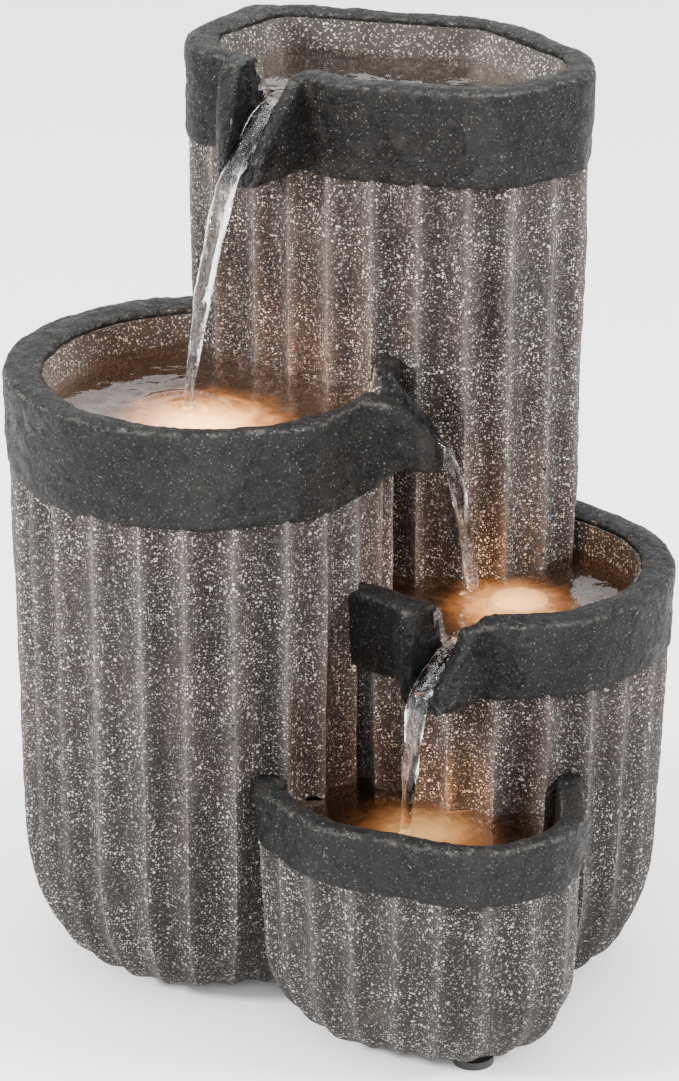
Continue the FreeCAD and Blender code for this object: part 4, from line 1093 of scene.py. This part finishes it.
def pool(name):
    """A pool: a closed body of water whose edge lies just inside the stone."""
    edge = [p for p, _ in band(grown(opening(name), -0.2), POOL_STEP)]
    middle = sum(edge, Vector((0, 0))) / len(edge)
    rings = []
    surface = WATER[name]
    under = [middle.lerp(p, 0.6) for p in edge]
    rings.append([(p.x, p.y, surface - POOL_DEPTH) for p in under])
    rings.append([(p.x, p.y, surface - POOL_DEPTH) for p in edge])
    for k in range(POOL_ROUNDS):
        share = 1 - k / POOL_ROUNDS
        ring = []
        for p in edge:
            spot = middle.lerp(p, share)
            rise = ripple(name, spot.x, spot.y) + 0.8 * max(0.0, share - 0.97) / 0.03
            ring.append((spot.x, spot.y, surface + rise))
        rings.append(ring)
    thing = grid_solid(f"{name}_pool", rings)
    for other in BEHIND[name]:
        combine(thing, outer[other])
    place, strength, spread = GLOW[name]
    shade_smooth(thing, 60)
    thing.visible_shadow = False
    return dress(thing, pool_water(f"{name}_pool_water", place, strength, spread), "water")


def stream(name):
    """Water over the lip: a sheet in the channel that narrows to a twisting fall."""
    tip, floor, ahead, side = chute_frame(name)
    x, y, target = LANDINGS[name]
    end = Vector((x, y))
    surface = WATER[target]
    brink = WATER[name]
    path = []
    for k in range(SHEET_STEPS):
        share = k / (SHEET_STEPS - 1)
        centre = tip - ahead * CHUTE_REACH * (1 - share)
        z = brink - 0.6 + (floor + 3.2 - brink) * share ** 1.7
        path.append((centre, z, 8.5 - 4.7 * share, 2.6 - 0.4 * share))
    fall = floor + 3.2 - surface
    for k in range(1, FALL_STEPS + 1):
        share = k / FALL_STEPS
        centre = tip.lerp(end, share ** 0.62)
        z = floor + 3.2 - fall * share
        path.append((centre, z, 3.8 - 1.3 * share, 2.2 - 0.3 * share))
    rings = []
    sides = 20
    for k, (centre, z, wide, thick) in enumerate(path):
        ahead_k = path[min(k + 1, len(path) - 1)]
        behind_k = path[max(k - 1, 0)]
        run = Vector((*ahead_k[0], ahead_k[1])) - Vector((*behind_k[0], behind_k[1]))
        run.normalize()
        level_side = Vector((*side, 0.0))
        up = run.cross(level_side).normalized() * -1
        fallen = max(0, k - SHEET_STEPS) / FALL_STEPS
        twist = 0.9 * math.sin(fallen * 5.0)
        ring = []
        for s in range(sides):
            a = 2 * math.pi * s / sides
            lump = 1 + 0.22 * noise.noise(Vector((math.cos(a) * 1.4, math.sin(a) * 1.4, z / 9.0)))
            lump += 0.12 * noise.noise(Vector((math.cos(a) * 3.0, math.sin(a) * 3.0, z / 4.0 + 7)))
            u = wide * lump * math.cos(a)
            v = thick * lump * math.sin(a)
            c, t = math.cos(twist), math.sin(twist)
            spot = Vector((*centre, z)) + level_side * (u * c - v * t) + up * (u * t + v * c)
            ring.append(tuple(spot))
        rings.append(ring)
    thing = face_outward(grid_solid(f"{name}_stream", rings))
    shade_smooth(thing)
    thing.visible_shadow = False
    return dress(thing, STREAM, "water")


STREAM = stream_water()
for name in POTS:
    pool(name)
for name in CHUTES:
    stream(name)
remove(*outer.values(), *inner.values())

# ---------------------------------------------------------------- carried-over CAD pieces

slots = {row["node"]: row["material_slot"] for row in frame["record"]["subparts"]}
for node, thing in frame["nodes"].items():
    look = SLOT_LOOKS.get(slots[node])
    if look and not thing.hide_render:
        thing.data.materials.clear()
        thing.data.materials.append(look)

# ---------------------------------------------------------------- stage, lights and camera

LAMP_RADIUS = 0.012
LAMP_COLOUR = (1.0, 0.48, 0.16)
WORLD_STRENGTH = 2.3


def plain(name, colour, rough):
    """An even matt surface."""
    g = Graph(name)
    fine = g.clouds(6.0, 2.0, 0.5)
    return g.set(Base_Color=g.mix(fine, colour, tuple(c * 0.985 for c in colour)),
                 Roughness=rough)


def floor_sheet():
    """The pale floor that the fountain stands on."""
    bm = bmesh.new()
    bmesh.ops.create_grid(bm, x_segments=1, y_segments=1, size=4.0)
    thing = new_object("floor", bm)
    thing.data.materials.append(plain("floor_paper", (0.90, 0.90, 0.90), 0.9))


def area_light(name, place, target, size, power):
    """A soft round studio light aimed at a target, in metres and watts."""
    data = bpy.data.lights.new(name, "AREA")
    data.shape = "DISK"
    data.size = size
    data.energy = power
    thing = bpy.data.objects.new(name, data)
    thing.location = place
    thing.rotation_euler = (Vector(target) - Vector(place)).to_track_quat("-Z", "Y").to_euler()
    bpy.context.scene.collection.objects.link(thing)


def lamp_light(name, place, power):
    """A small warm light near a water line, which the camera and the water don't show."""
    data = bpy.data.lights.new(name, "POINT")
    data.energy = power
    data.color = LAMP_COLOUR
    data.shadow_soft_size = LAMP_RADIUS
    thing = bpy.data.objects.new(name, data)
    thing.location = Vector(place) * MM
    thing.visible_camera = False
    thing.visible_transmission = False
    thing.visible_glossy = False
    bpy.context.scene.collection.objects.link(thing)


floor_sheet()
middle = (0.0, 0.0, 0.17)
area_light("key_left", (-1.7, -0.5, 0.95), middle, 0.45, 85)
area_light("key_right", (1.7, -0.4, 1.05), middle, 0.5, 62)
area_light("front", (-0.3, -2.2, 1.5), middle, 1.2, 10)
area_light("top", (0.0, 0.2, 2.0), middle, 1.4, 22)
lamp_light("left_glow", (-44.0, -14.0, 229.0), 0.12)
lamp_light("left_glow_back", (-22.0, 12.0, 229.0), 0.08)
lamp_light("right_glow", (58.0, -16.0, 157.0), 0.13)
lamp_light("right_under", (64.0, -12.0, 144.0), 0.05)
lamp_light("left_under", (-50.0, -14.0, 216.0), 0.05)
lamp_light("front_glow", (36.0, -66.0, 92.0), 0.13)

world = bpy.data.worlds.new("studio")
world.use_nodes = True
background = world.node_tree.nodes["Background"]
background.inputs["Color"].default_value = (1.0, 1.0, 1.0, 1.0)
background.inputs["Strength"].default_value = WORLD_STRENGTH
bpy.context.scene.world = world

camera_data = bpy.data.cameras.new("camera")
camera_data.lens = 143.2
camera_data.sensor_width = 36.0
camera = bpy.data.objects.new("camera", camera_data)
camera.location = (-0.0005, -1.4609, 0.795)
aim = Vector((-0.0005, -0.0025, 0.170)) - camera.location
camera.rotation_euler = aim.to_track_quat("-Z", "Y").to_euler()
bpy.context.scene.collection.objects.link(camera)
bpy.context.scene.camera = camera
